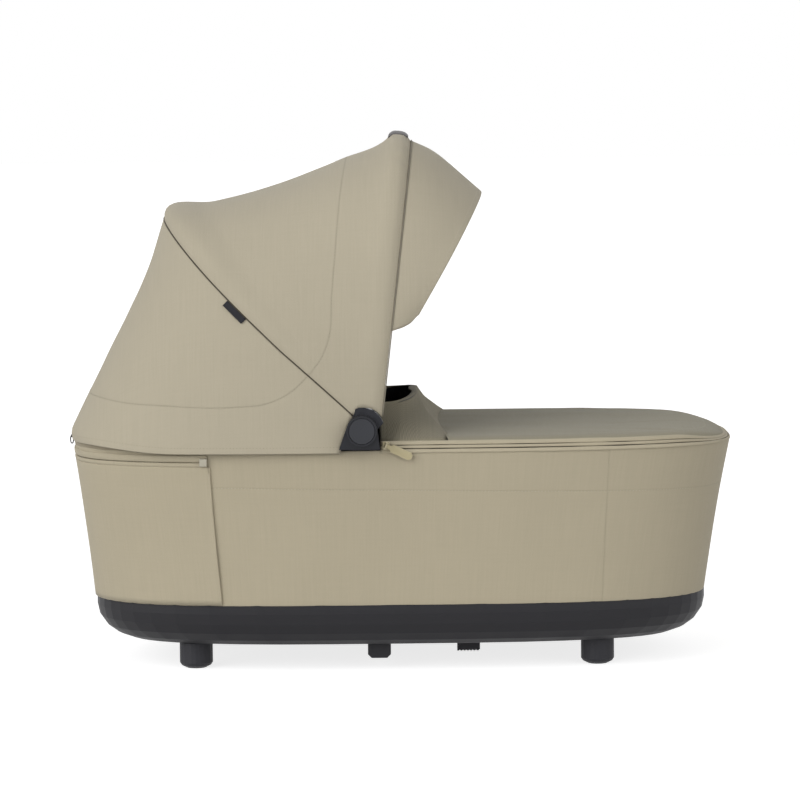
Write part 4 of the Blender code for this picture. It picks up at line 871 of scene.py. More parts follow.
@dataclass(frozen=True)
class Cloth:
    """Finish of a woven cloth."""

    name: str
    colour: Triple
    pitch: float = 0.0006
    slub: float = 0.10
    fade: float = 0.05
    roughness: float = 0.82
    sheen: float = 0.12
    relief: float = 0.00018
    # Painted shade: crease and seam set how far the colour is darkened along creased lines and along seams.
    crease: float = 0.12
    seam: float = 0.45
    line_width: float = 0.0011
    line_depth: float = 1.6
    uneven: float = 0.06
    specular: float = 0.25
    sheen_roughness: float = 0.6
    bump: float = 0.8

    @cache
    def material(self) -> Material:
        """Build the material, once."""
        made, wiring, shader = principled(self.name)
        weave = placed(wiring, Effects.weave(), pitch=self.pitch, slub=self.slub, fade=self.fade)
        line = placed(wiring, Effects.line(), width=self.line_width)
        crease, seam = line.outputs["Crease"], line.outputs["Seam"]
        # Painted shade: the colour is darkened along sewn lines by the crease and seam values; a negative
        # value paints the line lighter.
        shades = [wiring.math("SUBTRACT", 1.0, wiring.product(mark, depth))
                  for mark, depth in ((crease, self.crease), (seam, self.seam))]
        tone = wiring.product(weave.outputs["Tone"], wiring.product(*shades))
        wiring.feed(scaled_colour(wiring, self.colour, tone), shader.inputs["Base Color"])
        height = weave.outputs["Height"]
        rough = wiring.ramp(height, 0.0, 1.0, self.roughness + self.uneven, self.roughness - self.uneven)
        wiring.feed(rough, shader.inputs["Roughness"])
        shader.inputs["Specular IOR Level"].default_value = self.specular
        shader.inputs["Sheen Weight"].default_value = self.sheen
        shader.inputs["Sheen Roughness"].default_value = self.sheen_roughness
        lines = wiring.product(wiring.math("ADD", crease, seam), self.line_depth)
        sunk = wiring.math("SUBTRACT", height, lines)
        wiring.feed(wiring.bump(sunk, self.bump, self.relief), shader.inputs["Normal"])
        return made


@dataclass(frozen=True)
class Moulded:
    """Finish of moulded plastic, rubber, hide or painted metal."""

    name: str
    colour: Triple
    roughness: float = 0.5
    metallic: float = 0.0
    grain: float = 0.0006
    relief: float = 0.00004
    wear: float = 0.3
    worn: Triple = (0.12, 0.12, 0.125)
    dust: float = 0.05
    specular: float = 0.5
    dust_colour: Triple = (0.35, 0.33, 0.30)
    dust_roughness: float = 0.4
    mottle: float = 0.08
    uneven: float = 0.05
    bump: float = 0.6

    @cache
    def material(self) -> Material:
        """Build the material, once."""
        made, wiring, shader = principled(self.name)
        grain = placed(wiring, Effects.grain(), size=self.grain)
        wear = placed(wiring, Effects.edge_wear(), amount=self.wear)
        dust = placed(wiring, Effects.dust(), amount=self.dust).outputs["Mask"]
        mottled, rough = (
            wiring.ramp(grain.outputs["Tone"], 0.3, 0.7, middle - spread, middle + spread)
            for middle, spread in ((1.0, self.mottle), (self.roughness, self.uneven))
        )
        colour = scaled_colour(wiring, self.colour, mottled)
        colour = blended_colour(wiring, colour, self.worn, wear.outputs["Mask"])
        colour = blended_colour(wiring, colour, self.dust_colour, dust)
        wiring.feed(colour, shader.inputs["Base Color"])
        rough = wiring.math("ADD", rough, wiring.product(dust, self.dust_roughness))
        wiring.feed(rough, shader.inputs["Roughness"])
        shader.inputs["Metallic"].default_value = self.metallic
        shader.inputs["Specular IOR Level"].default_value = self.specular
        wiring.feed(wiring.bump(grain.outputs["Height"], self.bump, self.relief), shader.inputs["Normal"])
        return made


class Finish(Enum):
    """Finishes of the cot."""

    HOOD = Cloth("hood_weave", (0.443, 0.397, 0.299))
    # Painted shade: the wall's crease and seam values darken its colour faintly along its stitch line and
    # its upright seams.
    WALL = Cloth("wall_weave", (0.450, 0.397, 0.286), crease=0.05, seam=0.10)
    # The apron's negative seam value paints its colour lighter along its seam line, not darker.
    APRON = Cloth("apron_weave", (0.293, 0.268, 0.194), seam=-0.10)
    FLAP = Cloth("flap_weave", (0.240, 0.215, 0.150), pitch=0.0017, slub=0.26, relief=0.0003)
    LINING = Cloth("lining_knit", (0.014, 0.014, 0.015), pitch=0.0009, slub=0.25, roughness=0.9, sheen=0.3)
    MATTRESS = Cloth("mattress_knit", (0.72, 0.71, 0.68), pitch=0.0014, slub=0.06, relief=0.0004)
    TAPE = Cloth("zip_tape_weave", (0.33, 0.285, 0.20), pitch=0.0004, slub=0.1)
    PIPING = Cloth("piping_weave", (0.46, 0.415, 0.32), pitch=0.0004, slub=0.1)
    LABEL = Cloth("label_weave", (0.02, 0.02, 0.024), pitch=0.0003, slub=0.2, sheen=0.05)
    THREAD = Moulded("sewing_thread", (0.50, 0.455, 0.36), 0.6, grain=0.0004, wear=0.0, dust=0.0)
    HOOD_THREAD = Moulded("hood_thread", (0.33, 0.295, 0.220), 0.7, grain=0.0004, wear=0.0, dust=0.0)
    # Dark thread of the grip's stitches, and the painted shade of the cord in the middle seam's gap.
    DARK_THREAD_AND_SEAM_SHADE = Moulded("dark_thread_and_seam_shade", (0.062, 0.050, 0.034), 0.8, grain=0.0004, wear=0.0, dust=0.0)
    COIL = Moulded("zip_coil_nylon", (0.13, 0.115, 0.08), 0.45, wear=0.0, dust=0.0)
    TUB = Moulded("tub_plastic", (0.0155, 0.0152, 0.0180), 0.55, grain=0.0007, relief=0.00005, wear=0.10,
                  worn=(0.05, 0.05, 0.054), dust=0.03, specular=0.25)
    FOOT = Moulded("foot_rubber_mix", (0.024, 0.024, 0.029), 0.55, wear=0.12, worn=(0.06, 0.06, 0.065),
                   specular=0.27)
    HINGE = Moulded("hinge_plastic", (0.010, 0.0105, 0.014), 0.42, grain=0.0005, relief=0.00002, wear=0.25,
                    worn=(0.050, 0.052, 0.064), dust=0.02, specular=0.28)
    BUTTON = Moulded("button_plastic", (0.022, 0.0235, 0.029), 0.38, grain=0.0005, relief=0.00002,
                     wear=0.25, worn=(0.07, 0.072, 0.085), dust=0.02, specular=0.36)
    STEEL = Moulded("plain_steel", (0.55, 0.55, 0.56), 0.32, metallic=1.0, grain=0.002, relief=0.00001,
                    wear=0.0)
    KHAKI = Moulded("khaki_paint", (0.37, 0.32, 0.19), 0.38, metallic=0.35, grain=0.0008, relief=0.00002,
                    worn=(0.62, 0.58, 0.45), wear=0.6, dust=0.0)
    DARK_METAL = Moulded("dark_metal", (0.022, 0.021, 0.020), 0.40, metallic=0.5, wear=0.1, dust=0.0,
                         specular=0.3)
    PALE_METAL = Moulded("pale_metal", (0.38, 0.355, 0.285), 0.36, metallic=0.5, grain=0.0008,
                         relief=0.00002, wear=0.2, worn=(0.7, 0.68, 0.6), dust=0.0)
    HIDE = Moulded("grip_hide_grain", (0.105, 0.098, 0.100), 0.55, grain=0.0011, relief=0.00018, wear=0.2,
                   worn=(0.22, 0.21, 0.22))

    def look(self) -> Material:
        """Material of the finish."""
        return self.value.material()


# Shapes that several sub-assemblies follow


@dataclass(frozen=True)
class Walls:
    """The sloping wall in plan and in height, as read from the frame."""

    low: Triple
    high: Triple
    low_z: float
    high_z: float
    exponent: float = 3.4
    fineness: int = 24
    stretch_steps: int = 1400

    @classmethod
    def from_frame(cls) -> Walls:
        """Read the wall's sizes from the tub and the cover."""
        tub_low, tub_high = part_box("tub_base")
        rim_low, rim_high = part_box("outer_cover")
        low, high = ((near.x, far.x, far.y) for near, far in ((tub_low, tub_high), (rim_low, rim_high)))
        return cls(low, high, tub_high.z, rim_high.z)

    def sizes(self, z: float, inset: float = 0.0) -> Triple:
        """Head x, foot x and half-width at a level."""
        share = (min(z, self.high_z) - self.low_z) / (self.high_z - self.low_z)
        head, foot, half = (mix(low, high, share) for low, high in zip(self.low, self.high))
        return head + inset, foot - inset, half - inset

    def ring(self, z: float, inset: float, count: int) -> Points:
        """Closed ring on the wall at a level, evenly spaced from the foot end."""
        head, foot, half = self.sizes(z, inset)
        turn = np.linspace(0.0, math.tau, self.fineness * count, endpoint=False)
        power = 2 / self.exponent
        x = (head + foot) / 2 + (foot - head) / 2 * powered(np.cos(turn), power)
        y = half * powered(np.sin(turn), power)
        flat = respaced(np.stack([x, y], axis=1), count, closed=True)
        return np.column_stack([flat, np.full(count, z)])

    def half_width(self, x: Values, z: float, inset: float = 0.0) -> Values:
        """Half-width of the wall at a place along X."""
        head, foot, half = self.sizes(z, inset)
        along = np.abs(x - (head + foot) / 2) / ((foot - head) / 2)
        return half * rounded_half(np.minimum(along, 1.0), self.exponent)

    def stretch(self, z: float, inset: float, start_x: float, toward: int, count: int) -> Points:
        """Open stretch of a ring past a place along X, from the right side round an end to the left side.

        Args:
            z: Level.
            inset: Distance inside the wall.
            start_x: Where the stretch starts and ends.
            toward: 1 for the foot end, -1 for the head end.
            count: Number of points.

        Returns:
            Evenly spaced points.
        """
        dense = self.ring(z, inset, self.stretch_steps)
        line = dense[np.argsort(np.arctan2(dense[:, 1], toward * dense[:, 0]))]
        line = line[toward * (line[:, 0] - start_x) > 0]
        leg = float(self.half_width(start_x, z, inset))
        return respaced(np.vstack([(start_x, -leg, z), line, (start_x, leg, z)]), count)


WALLS = Walls.from_frame()
HINGE = Vector(next(joint["pos_m"] for joint in frame["joints"] if joint["name"] == "middle_bow_fold"))


@dataclass(frozen=True)
class HoodShape:
    """Bows, hem and cloth lines of the hood."""

    half_width: float = 0.2240
    bow_tilt: float = math.radians(83.2)
    bow_offset: float = 0.0060
    bow_reach: float = 0.3545
    bow_exponent: float = 2.8
    bow_rows: tuple[Triple, ...] = (
        (-0.0150, 0.0095, 0.0), (-0.0064, 0.0004, 0.0), (0.0, 0.0004, 0.0), (0.0064, 0.0016, 0.0007),
        (0.0158, 0.0106, 0.0045),
    )
    mid_tilt: float = math.radians(134.1)
    mid_reach: float = 0.3532
    mid_exponent: float = 3.0
    ridge_depth: float = 0.0040
    hem_z: float = 0.2722
    hem_head_rise: float = 0.0100
    hem_rise_start: float = 0.62
    hem_reach: float = 0.3655
    hem_exponent: float = 3.4
    seam_gap: float = 0.0012
    clear_rear: float = 0.0200
    lead: float = 0.0056
    lead_reach: float = 0.135
    seam_sag: float = 0.0052
    sag_skew: float = 1.8
    clear_hem: float = 0.0262
    clear_socket: float = 0.0273
    columns: int = 170

    def bow(self, offset: float) -> Tilt:
        """Plane of the carry bow, moved forward of the hinge along X."""
        return Tilt(HINGE.x + offset, HINGE.z, self.bow_tilt)

    def middle(self) -> Tilt:
        """Plane of the middle bow."""
        return Tilt(HINGE.x, HINGE.z, self.mid_tilt)

    def bow_lines(self) -> list[Triple]:
        """Offset, reach drop and width drop of the cloth's lines over the carry bow, from rear to front."""
        return [(self.bow_offset + ahead, *drops) for ahead, *drops in self.bow_rows]

    def over_bow(self, row: Triple, start: float, columns: int | None = None) -> Points:
        """One of the cloth's lines over the carry bow."""
        offset, reach_drop, width_drop = row
        return arch(
            self.bow(offset), self.bow_reach - reach_drop, self.half_width - width_drop,
            self.bow_exponent, start, columns or self.columns,
        )

    def ridge(self, offset: float, drop: float, start: float) -> Points:
        """Line of the cloth along the middle bow, which it leaves a little near the hinge."""
        line = arch(
            self.middle().shifted(offset), self.mid_reach - drop, self.half_width - drop / 4,
            self.mid_exponent, start, self.columns,
        )
        return self.led(line)

    def led(self, line: Points) -> Points:
        """Points moved from the middle bow to the foot side near the hinge, and to the head side above."""
        middle = self.middle()
        reach = (line[..., 0] - middle.x) * math.cos(middle.angle)
        reach = reach + (line[..., 2] - middle.z) * math.sin(middle.angle)
        share = np.clip(reach / self.mid_reach, 0, 1)
        shift = self.lead * np.clip(1 - reach / self.lead_reach, 0, 1)
        shift = shift - self.seam_sag * np.sin(math.pi * share**self.sag_skew)
        return line + middle.normal() * shift[..., None]

    def drawn_in(self, low: Points, high: Points, rows: int, sag: float, exponent: float = 2.0,
                 skew: float = 1.0) -> list[Points]:
        """Lines between two lines, drawn in towards the hood's inside near the top.

        Args:
            low: First line.
            high: Last line.
            rows: Number of steps between them.
            sag: Depth in the middle.
            exponent: How fast the depth fades towards the hinge.
            skew: Moves the deepest line; above 1 is nearer to the last line.

        Returns:
            The lines between them.
        """
        middle = np.array(HINGE) * np.array([1.0, 0.0, 1.0])
        top = np.linalg.norm(high - middle, axis=1).max()
        lines = []
        for row in range(1, rows):
            share = row / rows
            place = mix(low, high, share)
            inward = middle - place * np.array([1.0, 0.0, 1.0])
            length = np.linalg.norm(inward, axis=1, keepdims=True)
            depth = np.minimum(1.0, length / top) ** exponent * sag * math.sin(math.pi * share**skew)
            lines.append(place + inward / length * depth)
        return lines


HOOD = HoodShape()


def side_distance(points: Points, line: tuple[Pair, ...]) -> Points:
    """Signed distance in side view from a line of X and Z places."""
    route = np.array(line)
    flat = points[..., (0, 2)]
    best = np.full(flat.shape[:2], np.inf)
    signed = np.zeros(flat.shape[:2])
    for start, end in zip(route[:-1], route[1:]):
        way = end - start
        share = np.clip(((flat - start) @ way) / (way @ way), 0, 1)
        away = flat - (start + share[..., None] * way)
        distance = np.linalg.norm(away, axis=-1)
        sign = np.sign(way[0] * away[..., 1] - way[1] * away[..., 0])
        nearer = distance < best
        best = np.where(nearer, distance, best)
        signed = np.where(nearer, distance * sign, signed)
    return signed


# Sub-assemblies


@dataclass
class WallCloth:
    """Outer cover, head wrap and the lining of the walls."""

    thickness: float = 0.0012
    hollow: float = 0.0016
    line_z: float = 0.2250
    line_slope: float = -0.0194
    seam_top_x: float = 0.2533
    seam_bottom_x: float = 0.2443
    wrap_out: float = 0.0024
    wrap_top_z: float = 0.2538
    wrap_top_x: float = -0.2277
    wrap_bottom_x: float = -0.2158
    wrap_bow: float = 1.3
    flare: float = 0.0013
    flare_reach: float = 0.012
    flare_skew: float = 0.7
    wrap_length: float = 0.85
    lining_bottom_z: float = 0.0418
    lining_corner: float = 0.050
    lining_thickness: float = 0.0010
    lining_lip: tuple[Pair, ...] = (
        (0.0040, -0.0060), (0.0046, -0.0022), (0.0066, -0.0006), (0.0098, -0.0002), (0.0134, -0.0008),
        (0.0162, -0.0030), (LINING_INSET, -0.0075), (LINING_INSET, -0.0300),
    )
    lining_straight: float = 0.045
    lining_floor: tuple[float, ...] = (0.09, 0.12, 0.15)
    lining_clear: float = 0.02
    cover_hem: Pair = (0.0011, 0.006)
    wrap_side_hem: Pair = (0.0011, 0.008)
    wrap_top_hem: Pair = (0.0010, 0.006)
    cover_waves: Waves = Waves(0.085, 0.0011, 3.0, (1.0, 1.0, 0.35))
    wrap_waves: Waves = Waves(0.07, 0.0010, 9.0, (1.0, 1.0, 0.4))
    lining_waves: Waves = Waves(0.045, 0.0022, 5.0, (1.0, 1.0, 0.25))
    cover_grid: tuple[int, int] = (34, 420)
    wrap_grid: tuple[int, int] = (26, 210)
    lining_columns: int = 260
    thread: Thread = Thread(radius=0.00024)

    def build(self) -> None:
        """Make the pieces of the walls."""
        self.cover()
        self.head_wrap()
        self.lining()

    def cover(self) -> None:
        """Outer cover, with its level row of stitches and its two upright seams near the foot end."""
        low, high = WALLS.low_z + TOUCH, WALLS.high_z
        count, columns = self.cover_grid
        shares = np.linspace(0.0, 1.0, count)
        rows = []
        for share in shares:
            rows.append(WALLS.ring(mix(low, high, share), self.hollow * math.sin(math.pi * share), columns))
        patch = Patch(np.array(rows), (0.0, 0.0, mix(low, high, 0.5)), ThreadWay.ROUND, closed=True)
        patch = patch.pushed(self.cover_waves.over(patch.grid) * np.sin(math.pi * shares[:, None]))
        x, z = patch.grid[..., 0], patch.grid[..., 2]
        # Painted shade: the distances to the level stitch line and to the upright seams darken the wall's
        # colour along them.
        patch.along = z - self.line_z - self.line_slope * x
        patch.across = x - mix(self.seam_bottom_x, self.seam_top_x, (z - low) / (high - low))
        path, facing, _ = patch.crossing(patch.along)
        shown = path[:, 0] > self.wrap_top_x
        path, facing = path[shown], facing[shown]
        order = np.argsort(np.arctan2(path[:, 1], path[:, 0]))
        line, _ = self.thread.sew("wall_stitches", path[order], facing[order], Finish.THREAD)
        settle(line, Body.COT)
        patch = patch.hemmed(*self.cover_hem, first=True)
        cover = sewn("wall_cover", patch, self.thickness, Finish.WALL)
        settle(cover, Body.COT, ("outer_cover",))
        declare(cover, patch)

    def head_wrap(self) -> None:
        """Second layer round the head end, which ends in a slanted seam on both sides."""
        low, high = WALLS.low_z + 2 * TOUCH, self.wrap_top_z
        count, columns = self.wrap_grid
        shares = np.linspace(0.0, 1.0, count)
        rows = []
        for share in shares:
            z = mix(low, high, share)
            start = mix(self.wrap_top_x, self.wrap_bottom_x, (1 - share) ** self.wrap_bow)
            hollow = self.hollow * math.sin(math.pi * (z - low) / (WALLS.high_z - low))
            rows.append(WALLS.stretch(z, hollow - self.wrap_out, start, -1, columns))
        patch = Patch(np.array(rows), (-0.1, 0.0, mix(low, high, 0.5)), ThreadWay.ROUND)
        along = np.linspace(0.0, 1.0, columns)
        to_edge = np.minimum(along, 1 - along) * self.wrap_length
        levels = shares[:, None]
        lift = self.flare * np.exp(-to_edge / self.flare_reach)[None, :]
        lift = lift * np.sin(math.pi * levels**self.flare_skew)
        patch = patch.pushed(lift + self.wrap_waves.over(patch.grid) * np.sin(math.pi * levels))
        patch = patch.turned().hemmed(*self.wrap_side_hem, first=True).turned().hemmed(*self.wrap_top_hem)
        wrap = sewn("head_wrap_cloth", patch, self.thickness, Finish.WALL)
        settle(wrap, Body.COT, ("head_wrap",))
        declare(wrap, patch)

    def lining(self) -> None:
        """Dark lining, from the rim down the walls and under the mattress."""
        levels = [(inset, WALLS.high_z + drop) for inset, drop in self.lining_lip]
        corner_z = self.lining_bottom_z + self.lining_corner
        straight = np.linspace(WALLS.high_z - self.lining_straight, corner_z, 14)
        levels += [(LINING_INSET, z) for z in straight]
        for degrees in range(72, -1, -18):
            angle = math.radians(degrees)
            inset = LINING_INSET + self.lining_corner * (1 - math.sin(angle))
            levels.append((inset, corner_z - self.lining_corner * math.cos(angle)))
        levels += [(inset, self.lining_bottom_z) for inset in self.lining_floor]
        rows = []
        for inset, z in levels:
            ring = WALLS.ring(max(z, WALLS.low_z - self.lining_straight), inset, self.lining_columns)
            ring[:, 2] = z
            rows.append(ring)
        grid = np.array(rows)[::-1]
        z = grid[..., 2]
        held = faded(z - corner_z, 12) * faded(WALLS.high_z - self.lining_clear - z, 30)
        patch = Patch(grid, (0.0, 0.0, corner_z), ThreadWay.ROUND, closed=True)
        patch = patch.pushed(-self.lining_waves.over(grid) * held)
        lining = sewn("cot_lining", patch, self.lining_thickness, Finish.LINING)
        lining.modifiers["thickness"].offset = 0.0
        settle(lining, Body.COT, ("inner_lining",))
        declare(lining, patch)


@dataclass(frozen=True)
class Strip:
    """A strip of tape: its two edges' levels over the rim, and how far they lie inside the wall line."""

    name: str
    levels: Pair
    insets: Pair
    nodes: tuple[str, ...] = ()


@dataclass
class RimZips:
    """Zip tapes and coils round the rim. A zip's run is where it starts along X, and 1 to the foot end."""

    foot_run: tuple[float, int] = (-0.0215, 1)
    head_run: tuple[float, int] = (-0.2302, -1)
    hood_run: tuple[float, int] = (-0.0725, -1)
    foot_strips: tuple[Strip, ...] = (
        Strip("foot_zip_lower_tape", (-0.0018, 0.0026), (-0.0012, 0.0004), ("foot_zip_tape",)),
        Strip("foot_zip_upper_tape", (0.0036, 0.0070), (0.0012, 0.0020)),
        Strip("foot_zip_binding", (0.0076, 0.0124), (0.0022, 0.0034)),
    )
    head_strips: tuple[Strip, ...] = (
        Strip("head_zip_lower_tape", (-0.0176, -0.0127), (-0.0012, -0.0012), ("head_zip_tape",)),
        Strip("head_zip_upper_tape", (-0.0115, -0.0034), (-0.0012, -0.0010)),
    )
    hood_strip: Strip = Strip("hood_zip_cloth", (0.0001, 0.0110), (0.0004, -0.0004), ("hood_zip_tape",))
    foot_coil: Pair = (0.0031, 0.0022)
    head_coil: Pair = (-0.0121, 0.0004)
    thickness: float = 0.0005
    swell: float = 0.0009
    tuck: float = 0.0026
    border: float = 0.0115
    border_inset: float = 0.0036
    tip_start_x: float = 0.3300
    tip_length: float = 0.0780
    tip_drop_share: float = 0.60
    tip_draw: float = 0.0050
    least_draw_share: float = 0.25
    waves: Waves = Waves(0.03, 0.0003, 0.0)
    tooth: Thread = Thread(length=0.0011, gap=0.0009, radius=0.0007)
    strip_columns: int = 300
    coil_points: int = 500

    def build(self) -> None:
        """Make the tapes of the foot zip, the head zip and the hood."""
        for strip in self.foot_strips:
            self.band(strip, self.foot_run, Finish.WALL)
        self.coil("foot_zip_coil", self.foot_coil, self.foot_run)
        for strip in self.head_strips:
            self.band(strip, self.head_run, Finish.WALL)
        self.coil("head_zip_coil", self.head_coil, self.head_run)
        self.band(self.hood_strip, self.hood_run, Finish.TAPE)

    def tip(self, x: Values) -> Values:
        """How near a place is to the foot end's tip, from 0 to 1."""
        return smooth((x - self.tip_start_x) / self.tip_length)

    def lowered(self, z: float, x: Values) -> Values:
        """Level above the rim, which sinks at the foot end's tip."""
        above = max(0.0, z - WALLS.high_z)
        return z - above * self.tip_drop_share * self.tip(x)

    def drawn(self, x: Points) -> Points:
        """How far the foot end's border is drawn in."""
        return self.tip_draw * self.tip(x)

    def band(self, strip: Strip, run: tuple[float, int], finish: Finish) -> None:
        """Rounded strip of tape round one end of the rim.

        Args:
            strip: Its name, edges and CAD nodes.
            run: Where it starts and ends along X, and 1 for the foot end or -1 for the head end.
            finish: Its finish.
        """
        low, high = (WALLS.high_z + level for level in strip.levels)
        turns = np.linspace(0.0, math.pi, 9)
        profile = [(0.5 - 0.5 * math.cos(turn), self.swell * math.sin(turn)) for turn in turns]
        rows = []
        for share, out in [(0.0, -self.tuck), *profile, (1.0, -self.tuck)]:
            z = mix(low, high, share)
            inset = mix(*strip.insets, share) - out
            ring = WALLS.stretch(min(z, WALLS.high_z), inset, *run, self.strip_columns)
            ring[:, 2] = self.lowered(z, ring[:, 0])
            share_drawn = np.clip((z - WALLS.high_z) / self.border, self.least_draw_share, 1)
            ring[:, 0] -= self.drawn(ring[:, 0]) * share_drawn
            rows.append(ring)
        patch = Patch(np.array(rows), (0.0, 0.0, low), ThreadWay.ROUND)
        patch = patch.pushed(replace(self.waves, seed=low).over(patch.grid))
        made = sewn(strip.name, patch, self.thickness, finish)
        settle(made, Body.COT, strip.nodes)
        declare(made, patch)

    def coil(self, name: str, place: Pair, run: tuple[float, int]) -> None:
        """Row of small teeth in the slit between two tapes, at a level over the rim and an inset."""
        z = WALLS.high_z + place[0]
        path = WALLS.stretch(min(z, WALLS.high_z), place[1], *run, self.coil_points)
        path[:, 2] = self.lowered(z, path[:, 0])
        out = path - np.array([path[:, 0].mean() * 0.6, 0.0, z])
        out[:, 2] = 0.0
        made, _ = self.tooth.sew(name, path, unit(out), Finish.COIL)
        settle(made, Body.COT)


ZIPS = RimZips()


@dataclass(frozen=True)
class Sleeve:
    """A dark sleeve round a bow: its drop from the cloth, its legs' end, its radius and its fineness."""

    drop: float
    start: float
    radius: float | Pair
    points: int
    sides: int

    def draw(self, name: str, body: Body, plane: Tilt, reach: float, exponent: float) -> None:
        """Make the sleeve on the inner side of the cloth."""
        half_width = HOOD.half_width - self.drop
        path = arch(plane, reach - self.drop, half_width, exponent, self.start, self.points)
        made = tube(name, path, self.radius, plane.normal(), Finish.LINING, self.sides)
        settle(made, body)


@dataclass
class Hood:
    """Hood cloth over the bows, its seams, sleeves, label and grip."""

    thickness: float = 0.0010
    rear_sag: float = 0.0085
    rear_skew: float = 1.7
    roof_sag: float = 0.0125
    sag_rows: int = 5
    step: float = 0.0058
    tuck_height: float = 0.012
    tuck_depth: float = 0.0055
    tuck_start_share: float = 0.86
    tuck_fade_share: float = 0.12
    wave_rise: float = 9.0
    wave_clear: float = 0.03
    rear_waves: tuple[Waves, Waves] = (Waves(0.10, 0.0020, 21.0), Waves(0.035, 0.0006, 4.0))
    roof_waves: tuple[Waves, Waves] = (Waves(0.11, 0.0016, 33.0), Waves(0.04, 0.0005, 8.0))
    hem: Pair = (0.0010, 0.007)
    seam_hem: Pair = (0.0010, 0.006)
    lap_share: float = 0.45
    lap_depth: float = 0.0020
    hem_stitch_inset: float = 0.007
    seam_stitch_inset: float = 0.0035
    piping_radius: float = 0.0008
    piping_ahead: float = 0.0012
    piping_out: float = 0.0002
    seam_shade_radius: float = 0.0009
    gather_rows: float = 0.7
    gather_place: Pair = (0.140, 0.040)
    gather_height: float = 0.0009
    fine_gather: float = 0.0044
    wide_gather: float = 0.0036
    wide_gather_share: float = 0.6
    middle_sleeve: Sleeve = Sleeve(0.0100, 0.085, 0.0046, 150, 14)
    bow_sleeve: Sleeve = Sleeve(0.0081, 0.034, (0.0088, 0.0063), 170, 16)
    label_start: float = 0.192
    label_length: float = 0.0305
    label_width: float = 0.0074
    label_out: float = 0.0013
    label_bulge: float = 0.0004
    label_thickness: float = 0.0004
    label_end_hem: Pair = (0.0004, 0.0030)
    label_side_hem: Pair = (0.0004, 0.0006)
    grip_rear: Triple = (-0.0118, 0.0040, 0.0)
    grip_front: Triple = (0.0118, 0.0044, 0.0020)
    grip_half_span: float = 0.048
    grip_out: float = 0.0009
    grip_swell: float = 0.0012
    grip_stitch_inset: float = 0.0028
    grip_step: float = 0.0022
    grip_thickness: float = 0.0006
    grip_side_hem: Pair = (0.0006, 0.004)
    grip_end_hem: Pair = (0.0006, 0.003)
    grip_columns: int = 64
    line: tuple[Pair, ...] = (
        (-0.052, 0.720), (-0.0613, 0.619), (-0.0661, 0.588), (-0.0733, 0.511), (-0.0781, 0.454),
        (-0.0805, 0.415), (-0.0901, 0.387), (-0.1081, 0.364), (-0.1297, 0.344), (-0.1574, 0.3315),
        (-0.1958, 0.3275), (-0.2882, 0.3290), (-0.3302, 0.3310), (-0.3698, 0.3360), (-0.450, 0.3400),
    )
    line_step: float = 0.006
    inside: Triple = (-0.16, 0.0, 0.37)
    thread: Thread = Thread(radius=0.00024)
    grip_thread: Thread = Thread(radius=0.0003)

    def build(self) -> None:
        """Make the pieces of the hood."""
        self.rear_panel()
        self.front_panel()
        self.sleeves()
        self.label()
        self.grip()

    def hem_line(self) -> Points:
        """Lower edge of the hood, which rises round the head end."""
        line = arch(Tilt(HINGE.x, HOOD.hem_z, math.pi), HOOD.hem_reach, HOOD.half_width, HOOD.hem_exponent,
                    HOOD.clear_hem, HOOD.columns)
        toward_head = (HINGE.x - line[:, 0]) / HOOD.hem_reach
        start = HOOD.hem_rise_start
        line[:, 2] += HOOD.hem_head_rise * smooth((toward_head - start) / (1 - start))
        return line

    def rear_panel(self) -> None:
        """Cloth between the hem and the middle bow. It fans out from the cot to that bow."""
        hem = self.hem_line()
        seam = HOOD.ridge(-HOOD.seam_gap / 2, HOOD.ridge_depth, HOOD.clear_rear)
        rows = [hem] + HOOD.drawn_in(hem, seam, self.sag_rows, self.rear_sag, skew=self.rear_skew) + [seam]
        grid, places = through(rows, self.step)
        share = np.broadcast_to((places / (len(rows) - 1))[:, None], grid.shape[:2]).copy()
        patch = Patch(grid, self.inside, share=share)
        held = np.sin(math.pi * share) * faded(grid[..., 2] - HOOD.hem_z, self.wave_rise)
        broad, fine = (waves.over(grid) * held for waves in self.rear_waves)
        above_hem = np.clip(1 - (grid[..., 2] - grid[:1, :, 2]) / self.tuck_height, 0, 1)
        past = HINGE.x - HOOD.hem_reach * self.tuck_start_share - grid[..., 0]
        toward_head = smooth(past / (HOOD.hem_reach * self.tuck_fade_share))
        patch = patch.pushed(broad + fine - self.tuck_depth * above_hem**2 * toward_head)
        # Painted shade: the distance to the faint stitch line darkens the hood cloth along it.
        patch.along = side_distance(patch.grid, self.smooth_line())
        ends = Body.COT, Body.MIDDLE_BOW
        self.sew("rear_panel_stitches", patch.crossing(patch.along), *ends)
        self.sew("hood_hem_stitches", patch.inset_path(self.hem_stitch_inset), *ends)
        patch = patch.hemmed(*self.hem, first=True, last=False)
        under = patch.grid[-1] + (patch.grid[-1] - patch.grid[-2]) * self.lap_share
        under = under - patch.normals()[-1] * self.lap_depth
        patch = patch.extended([under], keep_line=True)
        panel = sewn("hood_rear_cloth", patch, self.thickness, Finish.HOOD, Finish.LINING)
        bend(panel, *ends, patch.share, Slot.HOOD, ("hood_rear_panel",))
        declare(panel, patch)

